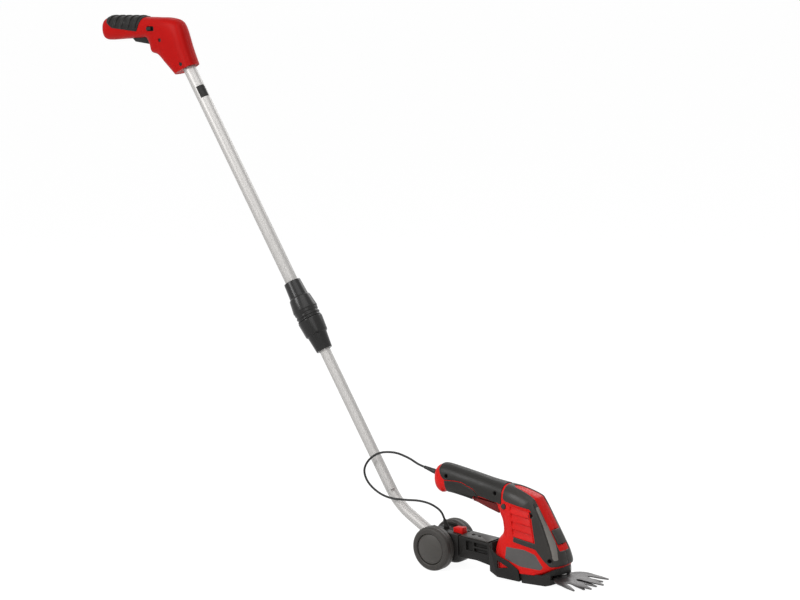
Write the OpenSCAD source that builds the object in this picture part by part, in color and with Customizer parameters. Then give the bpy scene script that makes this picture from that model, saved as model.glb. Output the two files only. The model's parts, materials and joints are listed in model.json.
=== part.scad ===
// Battery grass shears clipped to a two-wheeled carriage with a telescopic pole and a top handle.
// The origin is the middle of the flat sole. X points to the blades, Z points up.

/* [Shears] */
// Length of the shears from the grip end to the nose
shears_len = 290; // [270:1:310]
// Height of the grip top over the floor
shears_h = 190; // [180:1:205]
// Width of the shears at the foot
body_w = 67; // [62:1:74]
// Wall of the mouldings
wall = 2.4; // [2:0.1:2.8]
// Thickness of the dark cladding
clad_t = 1.6; // [1:0.1:2.2]
// Width of the trigger under the grip
trigger_w = 28; // [24:1:30]

/* [Blades] */
// Reach of the middle tooth ahead of the sole centre
blade_reach = 120; // [110:1:130]
// Fall of the blades towards their tips, degrees
blade_tilt = 8; // [7:0.5:9]
// Thickness of each blade
blade_t = 2; // [1.5:0.1:2.2]
// Angle from one tooth to the next, degrees
tooth_pitch = 23.5; // [21:0.5:25]
// Gap between blade tips and floor
tip_gap = 1; // [0.5:0.1:2]

/* [Carriage] */
// Distance from the axle to the sole centre
wheelbase = 214; // [210:1:225]
// Wheel diameter
wheel_d = 80; // [76:1:84]
// Wheel width
wheel_w = 23; // [20:1:26]
// Width between the wheels
hub_w = 41; // [38:0.5:46]
// Axle diameter
axle_d = 8; // [6:0.5:9]
// Boom width
boom_w = 40; // [34:1:46]

/* [Pole] */
// Outer diameter of the upper tube
upper_d = 24; // [23:0.5:26]
// Outer diameter of the lower tube
lower_d = 20; // [18:0.5:20.5]
// Wall of both tubes
tube_t = 1; // [0.8:0.1:1.2]
// Rise of the tube where it leaves the hub, degrees
stub_rise = 32; // [28:1:36]
// Rise of the straight pole, degrees
pole_rise = 60.4; // [56:0.2:64]
// Radius of the tube bend
bend_r = 120; // [90:5:140]
// Distance from the axle to the corner of the bend
stub_len = 119; // [112:1:130]
// Distance along the pole from the bend corner to the clamp
clamp_at = 314; // [290:1:340]
// Length of the clamp
clamp_len = 144; // [130:1:160]
// Largest diameter of the clamp
clamp_d = 47.6; // [44:0.2:52]
// Distance along the pole from the bend corner to the handle
pole_len = 906; // [860:1:950]

/* [Handle] */
// Length of the top handle
handle_len = 230; // [215:1:245]
// Height of the top handle
handle_h = 110; // [104:1:118]
// Width of the top handle
handle_w = 40; // [37:1:44]

/* [Cord] */
// Cord diameter
cord_d = 4; // [3:0.2:5]
// Plug diameter at the socket
plug_d = 9; // [7:0.5:10]

/* [Fits] */
// Gap of seated parts
seat = 0.1; // [0.05:0.01:0.2]
// Gap of guided parts
slip = 0.4; // [0.3:0.05:0.6]
// Radial gap of turning bores
run = 0.07; // [0.03:0.01:0.1]

/* [Hidden] */
$fn = 48;

red = [0.76, 0.07, 0.05];
dark = [0.24, 0.23, 0.22];
black = [0.09, 0.09, 0.09];
steel = [0.62, 0.62, 0.62];
alloy = [0.78, 0.78, 0.77];

// Shears outline: sections from the grip end to the foot, each with its rear edge and front edge in shares
// of length and height, its half width as a share of the half width of the foot, and its squareness.
rear_share = 0.783;
shears_o = [-shears_len * rear_share, 0];
shears_shares = [
    [[0.009, 0.87], [0.019, 0.93], 0.18, 2.2],
    [[0.022, 0.775], [0.032, 0.962], 0.38, 2.2],
    [[0.042, 0.738], [0.052, 0.986], 0.50, 2.3],
    [[0.07, 0.722], [0.083, 0.997], 0.55, 2.4],
    [[0.11, 0.738], [0.125, 0.993], 0.55, 2.4],
    [[0.2, 0.722], [0.22, 0.968], 0.55, 2.4],
    [[0.31, 0.69], [0.335, 0.935], 0.56, 2.4],
    [[0.41, 0.648], [0.445, 0.902], 0.58, 2.5],
    [[0.507, 0.605], [0.557, 0.876], 0.66, 2.6],
    [[0.524, 0.574], [0.652, 0.852], 0.76, 2.7],
    [[0.533, 0.532], [0.762, 0.799], 0.82, 2.8],
    [[0.5365, 0.4895], [0.797, 0.75], 0.85, 2.8],
    [[0.5365, 0.4526], [0.866, 0.563], 0.88, 2.9],
    [[0.5278, 0.4184], [0.93, 0.382], 0.92, 3],
    [[0.4986, 0.363], [0.961, 0.274], 0.97, 3.2],
    [[0.4796, 0.2526], [0.96, 0.174], 1, 3.6],
    [[0.4865, 0.09], [0.852, 0.09], 1, 4]
];

// Side outlines of the shears in shares of length and height
cover_shares = [[0.567, 1.03], [0.567, 0.762], [0.589, 0.739], [0.769, 0.69], [0.808, 0.386], [0.651, 0.425],
    [0.649, 0.377], [0.812, 0.332], [0.867, 0.24], [0.91, 0.182], [1.05, 0.19], [1.05, 1.03]];
vent_shares = [[0.617, 0.714], [0.763, 0.68], [0.8, 0.392], [0.64, 0.43]];
pad_line_shares = [[0.114, 0.86], [0.19, 0.863], [0.248, 0.858], [0.295, 0.828], [0.336, 0.806],
    [0.37, 0.747], [0.46, 0.721], [0.53, 0.704], [0.553, 0.7]];
pad_rear_shares = [[0.553, 1.05], [0.08, 1.05], [0.072, 0.95], [0.09, 0.895]];
palm_front_shares = [[0.115, 0.8], [0.11, 0.6], [0.296, 0.6], [0.3, 0.7], [0.332, 0.744], [0.36, 0.742]];
spine_shares = [[0.6, 0], [0.63, 0.6], [0.77, 1], [1.1, 1], [1.1, 0]];
board_shares = [[0.375, 0.765], [0.375, 0.83], [0.525, 0.83], [0.525, 0.765]];
switch_shares = [[0.382, 0.755], [0.382, 0.79], [0.438, 0.79], [0.438, 0.755]];
socket_share = [0.014, 0.9];
slit_shares = [[0.781, 0.734], [0.842, 0.555], [0.89, 0.391], [0.912, 0.307], [0.925, 0.222]];
trigger_shares = [[0.325, 0.692], [0.351, 0.718], [0.49, 0.69], [0.51, 0.684], [0.51, 0.603], [0.435, 0.638],
    [0.352, 0.682]];
trigger_neck_shares = [[0.47, 0.692], [0.552, 0.676], [0.556, 0.645], [0.535, 0.628], [0.47, 0.63]];
trigger_gap_shares = [[0.306, 0.6], [0.306, 0.7], [0.338, 0.748], [0.5, 0.712], [0.522, 0.7], [0.522, 0.58],
    [0.47, 0.5]];
trigger_pin_share = [0.54, 0.655];
screw_shares = [[0.132, 0.9, 0.53], [0.503, 0.797, 0.6], [0.774, 0.637, 0.72], [0.907, 0.238, 0.8]];
lock_share = [0.575, 0.69];
front_button_share = [0.9096, 0.4384];
spine_share = 0.4;
spine_end_share = 0.32;

// Handle outline, listed like the shears outline
handle_shares = [
    [[0.004, 0.76], [0.004, 0.88], 0.28, 2.2],
    [[0.02, 0.665], [0.03, 0.955], 0.64, 2.3],
    [[0.048, 0.613], [0.075, 0.993], 0.85, 2.5],
    [[0.117, 0.605], [0.15, 1.003], 0.9, 2.6],
    [[0.27, 0.62], [0.3, 0.999], 0.9, 2.6],
    [[0.42, 0.632], [0.475, 0.994], 0.92, 2.7],
    [[0.505, 0.634], [0.63, 0.984], 0.95, 2.9],
    [[0.541, 0.52], [0.76, 0.972], 1, 3.1],
    [[0.558, 0.395], [0.855, 0.917], 1, 3.3],
    [[0.628, 0.345], [0.898, 0.79], 1, 3.3],
    [[0.706, 0.2], [0.945, 0.48], 0.98, 3.2],
    [[0.803, 0.012], [0.998, 0.19], 0.95, 3]
];
handle_root_share = [0.925, 0.122];
pad_shares = [[0.06, 1.1], [0.095, 0.9], [0.155, 0.815], [0.435, 0.752], [0.52, 1.1]];
pad_angles = [70, 290];
rib_count = 5;
rib_pitch_share = 0.078;
rib_shares = [[0.09, 0.8], [0.125, 1.1], [0.155, 1.1], [0.12, 0.8]];
handle_trigger_shares = [[0.33, 0.655], [0.37, 0.573], [0.526, 0.53], [0.536, 0.61], [0.526, 0.735],
    [0.33, 0.727]];
handle_gap_shares = [[0.312, 0.7], [0.33, 0.5], [0.5, 0.48], [0.545, 0.52], [0.552, 0.76], [0.312, 0.76]];
handle_pin_share = [0.343, 0.687];
handle_lock_share = [0.578, 0.8];
handle_screw_share = [0.692, 0.604];

// Drive under the shears, in the tilted frame of the blades
pivot_x = blade_reach / 3;
pivot_z = tip_gap + (blade_reach - pivot_x) * tan(blade_tilt);
pivot_d = 8;
tip_r = (blade_reach - pivot_x) / cos(blade_tilt);
comb_root_share = 0.46;
comb_lap_share = 0.02;
comb_notch_share = 0.9;
comb_shares = [[0.055, 0.32], [0.385, 0.557]];
shoulder_share = [0.4, 0.217];
tang_share = [0.3, 0.3];
shoulder_r = 0.34 * tip_r;
fan_share = 0.47;
fan_root_share = 0.42;
fan_tooth_share = 0.095;
fan_tip_share = 0.9;
tooth_tip = 3;
belly_share = 0.13;
gear_rest = 129;
blade_rest = tooth_pitch / 2 * (1 - gear_rest / 90);
crank_x = -0.4 * tip_r;
crank_r = -crank_x * sin(tooth_pitch / 2);
crank_pin_d = 5;
yoke_gap = 4.6;
gear_r = 19.8;
pinion_r = 4.6;
shaft_d = 3.2;
gear_pin_d = 6;
blade_clear = 0.4;
blade_top = 2 * blade_t + blade_clear;
pivot_head_t = 2;
slot_top = blade_top + slip + pivot_head_t + slip;
gear_t = 6;
gear_room = 1.5;
gear_z = slot_top + gear_room;
plate_z = gear_z + gear_t + gear_room;
plate_t = 2.5;
motor_x = crank_x - gear_r - pinion_r - slip;
motor_d = 34;
motor_len = 53;
tray_inset = 1;
tray_w = body_w - 2 * tray_inset;
foot_share = 0.738;
foot_l = shears_len * foot_share;
tray_shares = [[-0.39, 0.21], [-0.39, 0.193], [-0.336, 0.118], [-0.1115, 0.079], [-0.108, 0], [0.124, 0],
    [0.2, 0.055], [0.227, 0.11], [0.227, 0.36], [0.167, 0.288], [0.0935, 0.206]];
tray_plan_shares = [[-0.5, -1], [0.178, -1], [0.227, -0.42], [0.227, 0.42], [0.178, 1], [-0.5, 1]];

// Carriage outlines in shares of wheelbase and wheel diameter
cradle_shares = [[0.412, 0.76], [0.404, 0.77], [0.398, 0.69], [0.33, 0.55], [0.222, 0.45], [0.128, 0.29],
    [0.1145, 0.06], [0.12, 0.035], [0.34, 0.07], [0.412, 0.18]];
cradle_back_shares = [[0.455, 0.75], [0.425, 0.79], [0.4, 0.6], [0.35, 0.1], [0.36, 0.09], [0.43, 0.2],
    [0.455, 0.24]];
cradle_bed_shares = [[0.4215, 1.2], [0.4215, 0.21], [0.4, 0.19], [0.338, 0.112], [0.09, 0.071], [0.09, 1.2]];
window_shares = [[0.335, 0.45], [0.225, 0.315], [0.335, 0.27]];
boom_shares = [[0.6, 0.31], [0.777, 0.33], [0.777, 0.805]];
boom_front_shares = [[0.474, 0.73], [0.4555, 0.7], [0.4555, 0.23]];
boom_cells_shares = [
    [[0.705, 0.73], [0.64, 0.715], [0.64, 0.51], [0.705, 0.51]],
    [[0.622, 0.71], [0.488, 0.675], [0.488, 0.6], [0.622, 0.62]],
    [[0.622, 0.58], [0.488, 0.56], [0.488, 0.47], [0.622, 0.5]]
];
hub_shares = [[0.55, -0.28], [0.58, 0.33], [0.2, 0.36], [-0.1, 0.42], [-0.3, 0.3], [-0.3, 0.02],
    [-0.22, -0.2], [-0.08, -0.28]];
tongue_w = 24;
tongue_h = 18;
button_x = 0.335 * wheel_d;
button_l = 20;
button_w = 15;
button_h = 19;
wheel_gap = 0.7;
wheel_in = hub_w / 2 + wheel_gap;
tread_shares = [[0.9, 0], [1, 0.16], [1, 0.74], [0.97, 0.88], [0.91, 0.97], [0.86, 1]];
cap_r = 0.7 * wheel_d / 2;
cap_t = 4.5;
rim_edge = 1;
clip_t = 1.6;
clip_r = 8;
axle_tip = 1;
axle_end = wheel_in + wheel_w - cap_t - 2 * axle_tip;
clip_in = axle_end - axle_tip - clip_t;
stub_in = 16;

// Pole line in the plane y = 0
axle_p = [-wheelbase, wheel_d / 2];
stub_dir = [-cos(stub_rise), sin(stub_rise)];
pole_dir = [-cos(pole_rise), sin(pole_rise)];
bend_p = axle_p + stub_len * stub_dir;
bend_cut = bend_r * tan((pole_rise - stub_rise) / 2);
bend_lap = 2;
bend_thin = 0.3;
tube_lap = 82;
lower_top = clamp_at + clamp_len + tube_lap;
bush_len = 30;
tube_in = 50;
spigot_d = 30;
nut_len = 0.434 * clamp_len;
nut_top = nut_len + 2 * slip;
clamp_lip = 0.3;
collet_d = 25;
slit_w = 2;
collet_z = 0.1 * clamp_len;
collet_top = 0.235 * clamp_len;
lip_z = 0.49 * clamp_len;
upper_foot = clamp_at + 0.53 * clamp_len;
clamp_shares = [[0.955, 0.5], [0.915, 0.508], [0.915, 0.522], [0.955, 0.53], [0.955, 0.562], [1, 0.572],
    [0.855, 0.765], [0.755, 0.78], [0.67, 1]];
nut_shares = [[0.64, 0], [0.78, 0.495], [0.9, 0.54], [0.995, 0.98], [0.97, 1]];
handle_p = bend_p + pole_len * pole_dir;
handle_o = handle_p - [handle_len * handle_root_share.x, handle_h * handle_root_share.y];

// Screws of the mouldings
post_d = 8;
screw_d = 3.4;
head_d = 7;
head_t = 2.5;
pin_d = 4;
lock_d = 9.6;

// Plug and socket in the grip end
plug_tilt = 14;
plug_len = 26;
socket_rim = 1;
pin_hole_d = plug_d / 2;
socket_p = shears_o + [shears_len * socket_share.x, shears_h * socket_share.y];

// Free cord from plug to gland
gland_lean = -17;
gland_p = axle_p + wheel_d * [0.09, 0.395];
gland_h = 15;
cord_route = [[-264, -1, 182], [-283, -6, 193], [-308, -12, 201], [-337, -18, 199], [-360, -22, 185],
    [-371, -24, 165], [-364, -24, 144], [-344, -22, 127], [-319, -19, 118], [-287, -16, 117],
    [-256, -14, 118], [-233, -9, 113], [-217, -3, 101]];

// Lofts: a section is [rear edge, front edge, half width, squareness] in millimetres
function rows(shares, o, l, h, w) = [for (r = shares)
    [o + [l * r[0].x, h * r[0].y], o + [l * r[1].x, h * r[1].y], w / 2 * r[2], r[3]]];
shears_rows = rows(shears_shares, shears_o, shears_len, shears_h, body_w);
handle_rows = rows(handle_shares, handle_o, handle_len, handle_h, handle_w);

function spline(a, b, c, d, t) = b + (c - a) * t / 2
    + (a - 2.5 * b + 2 * c - d / 2) * t * t + (1.5 * b - a / 2 - 1.5 * c + d / 2) * t * t * t;
function pick(list, k) = list[max(0, min(len(list) - 1, k))];
function section(tab, s) = let (k = min(floor(s), len(tab) - 2), t = s - k)
    [for (e = [0 : 3])
        spline(pick(tab, k - 1)[e], pick(tab, k)[e], pick(tab, k + 1)[e], pick(tab, k + 2)[e], t)];
function bulge(v, n) = sign(v) * pow(abs(v), 2 / n);
function skin_point(r, a, lift) = let (half = norm(r[1] - r[0]) / 2,
        q = (r[0] + r[1]) / 2 + (r[1] - r[0]) / 2 * (1 + lift / half) * bulge(-cos(a), r[3]))
    [q.x, (r[2] + lift) * bulge(sin(a), r[3]), q.y];
turns = 12;
function ring(r, a0, a1, inner, outer) = concat(
    [for (i = [0 : turns]) skin_point(r, a0 + (a1 - a0) * i / turns, outer)],
    [for (i = [turns : -1 : 0]) skin_point(r, a0 + (a1 - a0) * i / turns, inner)]);
function span(s0, s1) = [for (i = [0 : (s1 - s0) * 2]) s0 + i / 2];

module strip(rings, cap0, cap1) {
    m = len(rings[0]);
    n = len(rings);
    polyhedron([for (r = rings) each r], concat(
        [for (c = cap0) c],
        [for (i = [0 : n - 2]) for (j = [0 : m - 1]) let (k = (j + 1) % m, p = i * m)
            each [[p + j, p + m + k, p + k], [p + j, p + m + j, p + m + k]]],
        [for (c = cap1) [for (v = c) (n - 1) * m + v]]));
}

// Skin of a moulding from section s0 to s1 and round its side from angle a0 to a1
module skin(tab, s0, s1, inner, outer, a0 = 0, a1 = 180) {
    rings = [for (s = span(s0, s1)) ring(section(tab, s), a0, a1, inner, outer)];
    m = len(rings[0]);
    strip(rings, [for (j = [0 : turns - 1]) [j, j + 1, m - 2 - j, m - 1 - j]],
        [for (j = [0 : turns - 1]) [m - 1 - j, m - 2 - j, j + 1, j]]);
}

// Solid filling of a half moulding
module core(tab, s0, s1, lift) {
    rings = [for (s = span(s0, s1))
        [for (i = [0 : turns]) skin_point(section(tab, s), 180 * i / turns, lift)]];
    strip(rings, [[for (j = [0 : turns]) j]], [[for (j = [turns : -1 : 0]) j]]);
}

// Side outline spread along Y
module slab(y0, y1) translate([0, y1, 0]) rotate([90, 0, 0]) linear_extrude(y1 - y0) children();
module bar_y(p, d, y0, y1) translate([p.x, y0, p.y]) rotate([-90, 0, 0]) cylinder(d = d, h = y1 - y0);
module both_sides() {
    children();
    mirror([0, 1, 0]) children();
}
module right() mirror([0, 1, 0]) children();

function on_shears(p) = shears_o + [shears_len * p.x, shears_h * p.y];
function on_handle(p) = handle_o + [handle_len * p.x, handle_h * p.y];
function on_carriage(p) = [-wheelbase * p.x, wheel_d * p.y];
function on_foot(p) = [foot_l * p.x, wheel_d * p.y];
function on_cradle(p) = [-foot_l * p.x, wheel_d * p.y];
module shears_outline(shares) polygon([for (p = shares) on_shears(p)]);
module handle_outline(shares) polygon([for (p = shares) on_handle(p)]);
module carriage_outline(shares) polygon([for (p = shares) on_carriage(p)]);
module cradle_outline(shares) polygon([for (p = shares) on_cradle(p)]);

module blade_frame() translate([pivot_x, 0, pivot_z]) rotate([0, blade_tilt, 0]) children();
module at_axle() translate([axle_p.x, 0, axle_p.y]) children();
module on_pole(q) translate([bend_p.x + q * pole_dir.x, 0, bend_p.y + q * pole_dir.y])
    rotate([0, pole_rise - 90, 0]) children();
module plug_frame() translate([socket_p.x, 0, socket_p.y]) rotate([0, plug_tilt - 90, 0]) children();

// Shears mouldings
function post_end(p) = body_w / 2 * p[2] - wall / 2;
module shears_half() {
    difference() {
        union() {
            skin(shears_rows, 0, 16, -wall, 0);
            for (p = screw_shares) bar_y(on_shears(p), post_d, 0, post_end(p));
        }
        slab(-seat, body_w) shears_outline(trigger_gap_shares);
        slab(0, body_w) shears_outline(vent_shares);
        bar_y(on_shears(lock_share), lock_d + 2 * run, 0, body_w);
        bar_y(on_shears(trigger_pin_share), pin_d + 2 * run, 0, 0.64 * body_w / 2);
        front_frame() front_pocket();
        blade_frame() blade_slot(slip);
    }
}
module housing_left() color(red) difference() {
    shears_half();
    for (p = screw_shares) bar_y(on_shears(p), screw_d + seat, -seat, post_end(p) * 0.6);
}
module housing_right() color(red) right() difference() {
    shears_half();
    for (p = screw_shares) {
        bar_y(on_shears(p), screw_d + slip, -seat, body_w);
        bar_y(on_shears(p), head_d + slip, post_end(p) - 2 * head_t, body_w);
    }
}
module screw_y(p, y_head, y_tip) {
    bar_y(p, head_d, y_head, y_head + head_t);
    bar_y(p, screw_d, y_tip, y_head + head_t / 2);
}
module housing_screws() color(steel) right() for (p = screw_shares)
    screw_y(on_shears(p), post_end(p) - 2 * head_t, -post_end(p) * 0.55);

module screw_wells() for (p = screw_shares) bar_y(on_shears(p), head_d + slip, 0, body_w);
module grip_pad_left() color(dark) grip_pad();
module grip_pad_right() color(dark) right() difference() {
    grip_pad();
    screw_wells();
}
module grip_pad() intersection() {
    skin(shears_rows, 2, 9, seat, clad_t);
    slab(0, body_w) translate([0, clad_t / 3])
        shears_outline(concat(pad_line_shares, pad_rear_shares));
}
module palm_pad_left() color(dark) palm_pad();
module palm_pad_right() color(dark) right() palm_pad();
module palm_pad() intersection() {
    skin(shears_rows, 3, 7, seat, clad_t);
    slab(wall, body_w) translate([0, -clad_t / 3])
        shears_outline(concat([for (i = [5 : -1 : 0]) pad_line_shares[i]], palm_front_shares));
}
module side_cover_left() color(dark) side_cover();
module side_cover_right() color(dark) right() difference() {
    side_cover();
    screw_wells();
}
module side_cover() difference() {
    intersection() {
        skin(shears_rows, 7.5, 15.5, 2 * seat, clad_t);
        slab(0, body_w) shears_outline(cover_shares);
    }
    translate([0, 0, shears_h * spine_end_share]) linear_extrude(shears_h)
        polygon([for (p = spine_shares)
            [shears_o.x + shears_len * p.x, body_w / 2 * spine_share * p.y]]);
    intersection() {
        skin(shears_rows, 9, 15.5, clad_t / 2, 2 * clad_t);
        slab(0, body_w) shears_outline(concat(slit_shares,
            [for (i = [len(slit_shares) - 1 : -1 : 0]) slit_shares[i] - [clad_t / shears_len, 0]]));
    }
}
module vent_left() color(red) vent();
module vent_right() color(red) right() vent();
vent_mid = on_shears((vent_shares[0] + vent_shares[2]) / 2);
vent_scale = 0.995;
slot_shares = [[0.07, 0], [0.93, 0], [0.93, 1], [0.07, 1]];
vent_count = 4;
module vent() difference() {
    intersection() {
        skin(shears_rows, 8, 15, -wall, clad_t / 2);
        slab(0, body_w) translate(vent_mid) scale(vent_scale) translate(-vent_mid)
            shears_outline(vent_shares);
    }
    for (i = [1 : vent_count]) slab(0, body_w) shears_outline([for (p = slot_shares)
        let (v = (i - 0.16 * p.y) / vent_count - 0.02,
            a = vent_shares[0] + (vent_shares[3] - vent_shares[0]) * v,
            b = vent_shares[1] + (vent_shares[2] - vent_shares[1]) * v)
        a + (b - a) * p.x]);
}

// Switches of the shears
module trigger() color(dark) {
    slab(-trigger_w / 2, trigger_w / 2) shears_outline(trigger_shares);
    slab(-trigger_w / 4, trigger_w / 4) shears_outline(trigger_neck_shares);
    bar_y(on_shears(trigger_pin_share), pin_d, -0.63 * body_w / 2, 0.63 * body_w / 2);
}
lock_len = 0.82 * body_w;
module lock_button() color(dark) bar_y(on_shears(lock_share), lock_d, -lock_len / 2, lock_len / 2);

front_lean = 28.2;
front_w = 23;
front_l = 27;
front_t = 5;
module front_frame() translate([on_shears(front_button_share).x, 0, on_shears(front_button_share).y])
    rotate([0, -front_lean, 0]) children();
module front_pocket() translate([-3 * front_t, -front_w / 2 - slip, -front_l / 2 - slip])
    cube([6 * front_t, front_w + 2 * slip, front_l + 2 * slip]);
module front_button() color(dark) front_frame() {
    translate([-front_t - wall, -front_w / 2, -front_l / 2]) cube([front_t + 2 * wall, front_w, front_l]);
    translate([-front_t - wall, -front_w / 2 - wall, -front_l / 2 - wall])
        cube([wall, front_w + 2 * wall, front_l + 2 * wall]);
}

// Inside of the grip
module charge_socket() color(black) plug_frame() difference() {
    union() {
        translate([0, 0, seat]) cylinder(d = plug_d + 2 * socket_rim, h = wall);
        translate([0, 0, -3 * wall]) cylinder(d = pin_hole_d + clad_t, h = 4 * wall);
    }
    translate([0, 0, -2 * wall]) cylinder(d = pin_hole_d, h = 4 * wall);
}
cell_d = 14.2;
cell_len = 50;
cell_web = 1;
cell_off = (cell_d + cell_web) / 2 + seat;
cell_tilt = 9;
cell_p = on_shears([0.258, 0.85]);
module cell_frame() translate([cell_p.x, 0, cell_p.y]) rotate([0, cell_tilt, 0]) children();
module battery_cells() color(steel) cell_frame() for (k = [-1, 1])
    translate([-cell_len / 2, 0, k * cell_off]) rotate([0, 90, 0])
        cylinder(d = cell_d, h = cell_len);
module battery_tray() color(black) difference() {
    union() {
        cell_frame() translate([-cell_len / 2 - wall, -cell_d / 2 - wall, -cell_d / 2])
            cube([cell_len + 2 * wall, cell_d + 2 * wall, cell_d]);
        slab(wall, 2 * wall) polygon([cell_p + [-cell_len / 2, -wall], cell_p + [-cell_len / 2, 2 * wall],
            on_shears(screw_shares[0]) + [-post_d, post_d],
            on_shears(screw_shares[0]) + [-post_d, -post_d / 2]]);
    }
    cell_frame() for (k = [-1, 1]) translate([-cell_len / 2 - seat, 0, k * cell_off])
        rotate([0, 90, 0]) cylinder(d = cell_d + 2 * seat, h = cell_len + 2 * seat);
    bar_y(on_shears(screw_shares[0]), post_d + 2 * seat, 0, body_w);
}
board_t = 1.6;
module control_board() color([0.1, 0.3, 0.14]) difference() {
    slab(wall, wall + board_t) shears_outline(board_shares);
    bar_y(on_shears(screw_shares[1]), post_d + 2 * seat, 0, body_w);
}
module micro_switch() color(black)
    slab(-2 * wall, wall) shears_outline(switch_shares);

// Drive
module motor() color(steel) blade_frame() translate([motor_x, 0, plate_z + plate_t]) difference() {
    union() {
        cylinder(d = motor_d, h = motor_len);
        translate([0, 0, motor_len]) cylinder(d = motor_d / 3, h = wall);
        translate([0, 0, -plate_t]) cylinder(d = motor_d / 3, h = plate_t);
    }
    translate([0, 0, -2 * plate_t]) cylinder(d = shaft_d + 2 * run, h = 4 * plate_t);
}
module motor_pinion() color(steel) blade_frame() translate([motor_x, 0, gear_z]) {
    cylinder(r = pinion_r, h = gear_t);
    cylinder(d = shaft_d, h = plate_z + plate_t - gear_z + 1.5 * plate_t);
}
module drive_gear() color(dark) blade_frame() translate([crank_x, 0, 0]) difference() {
    union() {
        translate([0, 0, gear_z]) cylinder(r = gear_r, h = gear_t);
        rotate(gear_rest) translate([0, -crank_r, blade_t + blade_clear])
            cylinder(d = crank_pin_d, h = gear_z - blade_t);
    }
    translate([0, 0, gear_z + gear_t / 3]) cylinder(d = gear_pin_d + 2 * run, h = gear_t);
}
plate_front = -14;
plate_half = 26;
plate_post_d = 5.6;
plate_posts = [[crank_x - plate_post_d / 2, plate_half - plate_post_d / 2],
    [motor_x - motor_d / 2 + wall, plate_half - post_d]];
module blade_slot(gap) translate([1.1 * crank_x, -plate_half - wall / 2 - gap, -gap])
    cube([2 * tip_r, 2 * plate_half + wall + 2 * gap, slot_top + 2 * gap]);
module gear_plate() color(steel) blade_frame() {
    difference() {
        translate([motor_x - motor_d / 2 - wall, -plate_half, plate_z])
            cube([plate_front + motor_d / 2 + wall - motor_x, 2 * plate_half, plate_t]);
        translate([motor_x, 0, plate_z - plate_t]) cylinder(d = motor_d / 3 + 2 * seat, h = 3 * plate_t);
    }
    translate([crank_x, 0, gear_z + gear_t / 3 + slip])
        cylinder(d = gear_pin_d, h = plate_z - gear_z - gear_t / 3);
}
module base_tray() color(black) difference() {
    union() {
        intersection() {
            slab(-tray_w / 2, tray_w / 2) polygon([for (p = tray_shares) on_foot(p)]);
            linear_extrude(wheel_d) polygon([for (p = tray_plan_shares) [foot_l * p.x, tray_w / 2 * p.y]]);
        }
        blade_frame() both_sides() {
            for (q = plate_posts) translate([q.x, q.y, -post_d])
                cylinder(d = plate_post_d, h = plate_z + post_d);
        }
    }
    blade_frame() {
        blade_slot(0);
        translate([-wall, -body_w / 2, 0]) cube([tip_r, body_w, slot_top]);
        translate([0, 0, -post_d]) cylinder(d = pivot_d + seat, h = 2 * post_d);
        both_sides() translate(blade_screw - [0, 0, post_d + wall])
            cylinder(d = screw_d + seat, h = 2 * post_d);
    }
}

// Blades
blade_screw = [-0.18 * tip_r, 0.2 * tip_r, 0];
function tip_at(k) = tip_r * [cos(k * tooth_pitch), sin(k * tooth_pitch)];
module tooth(lo, hi, tip) {
    out = belly_share * (hi - lo);
    e = tooth_tip / 2 * (hi - lo) / norm(hi - lo);
    polygon([lo, (lo + tip) / 2 - out, tip - e, tip + e, (hi + tip) / 2 + out, hi]);
}
function comb_edge(k, i) = tip_r * [comb_root_share - comb_lap_share, comb_shares[k][i]];
module comb_plate() intersection() {
    union() {
        for (k = [-1, 1]) translate(tip_r * [shoulder_share.x, k * shoulder_share.y])
            circle(r = shoulder_r);
        translate(tip_r * [0, -shoulder_share.y]) square(tip_r * [1, 2 * shoulder_share.y]);
    }
    translate(tip_r * [0, -1]) square(tip_r * [comb_root_share, 2]);
}
module comb_notches() {
    translate([tip_r * comb_root_share, 0]) circle(r = comb_notch_share * comb_edge(0, 0).y);
    for (k = [-1, 1]) translate([tip_r * comb_root_share, k * (comb_edge(0, 1).y + comb_edge(1, 0).y) / 2])
        circle(d = comb_notch_share * (comb_edge(1, 0).y - comb_edge(0, 1).y));
}
module comb() for (k = [0, 1]) mirror([0, k]) for (i = [0, 1])
    tooth(comb_edge(i, 0), comb_edge(i, 1), tip_at(i + 0.5));
module fixed_blade() color(steel) blade_frame() difference() {
    linear_extrude(blade_t) union() {
        fan();
        translate(-tip_r * tang_share) square(2 * tip_r * tang_share);
    }
    translate([0, 0, -blade_t]) cylinder(d = pivot_d + 2 * seat, h = 3 * blade_t);
    both_sides() translate(blade_screw) countersunk(slip, blade_t);
}
module countersunk(gap, len) {
    cylinder(d1 = screw_d + gap, d2 = head_d + gap, h = blade_t);
    translate([0, 0, -len]) cylinder(d = screw_d + gap, h = 2 * len);
}
yoke_w = crank_pin_d + yoke_gap;
module fan() {
    r = tip_r * fan_share;
    intersection() {
        circle(r = r);
        polygon([[-r / 4, 0], 2 * r * [cos(1.5 * tooth_pitch), -sin(1.5 * tooth_pitch)],
            2 * r * [cos(1.5 * tooth_pitch), sin(1.5 * tooth_pitch)]]);
    }
    for (k = [-1 : 1]) rotate(k * tooth_pitch) tooth(tip_r * [fan_root_share, -fan_tooth_share],
        tip_r * [fan_root_share, fan_tooth_share], tip_r * [fan_tip_share, 0]);
}
module moving_outline() difference() {
    union() {
        comb_plate();
        comb();
        translate([crank_x * 1.35, -yoke_w]) square([-crank_x * 1.5, 2 * yoke_w]);
        circle(d = 2.6 * pivot_d);
    }
    translate([1.5 * crank_x, -yoke_w / 2]) square([crank_r + yoke_w / 2 - 0.5 * crank_x, yoke_w]);
    comb_notches();
    circle(d = pivot_d + 2 * run);
}
module moving_blade() color(steel) blade_frame() translate([0, 0, blade_t + blade_clear])
    rotate(blade_rest) linear_extrude(blade_t) moving_outline();
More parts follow.
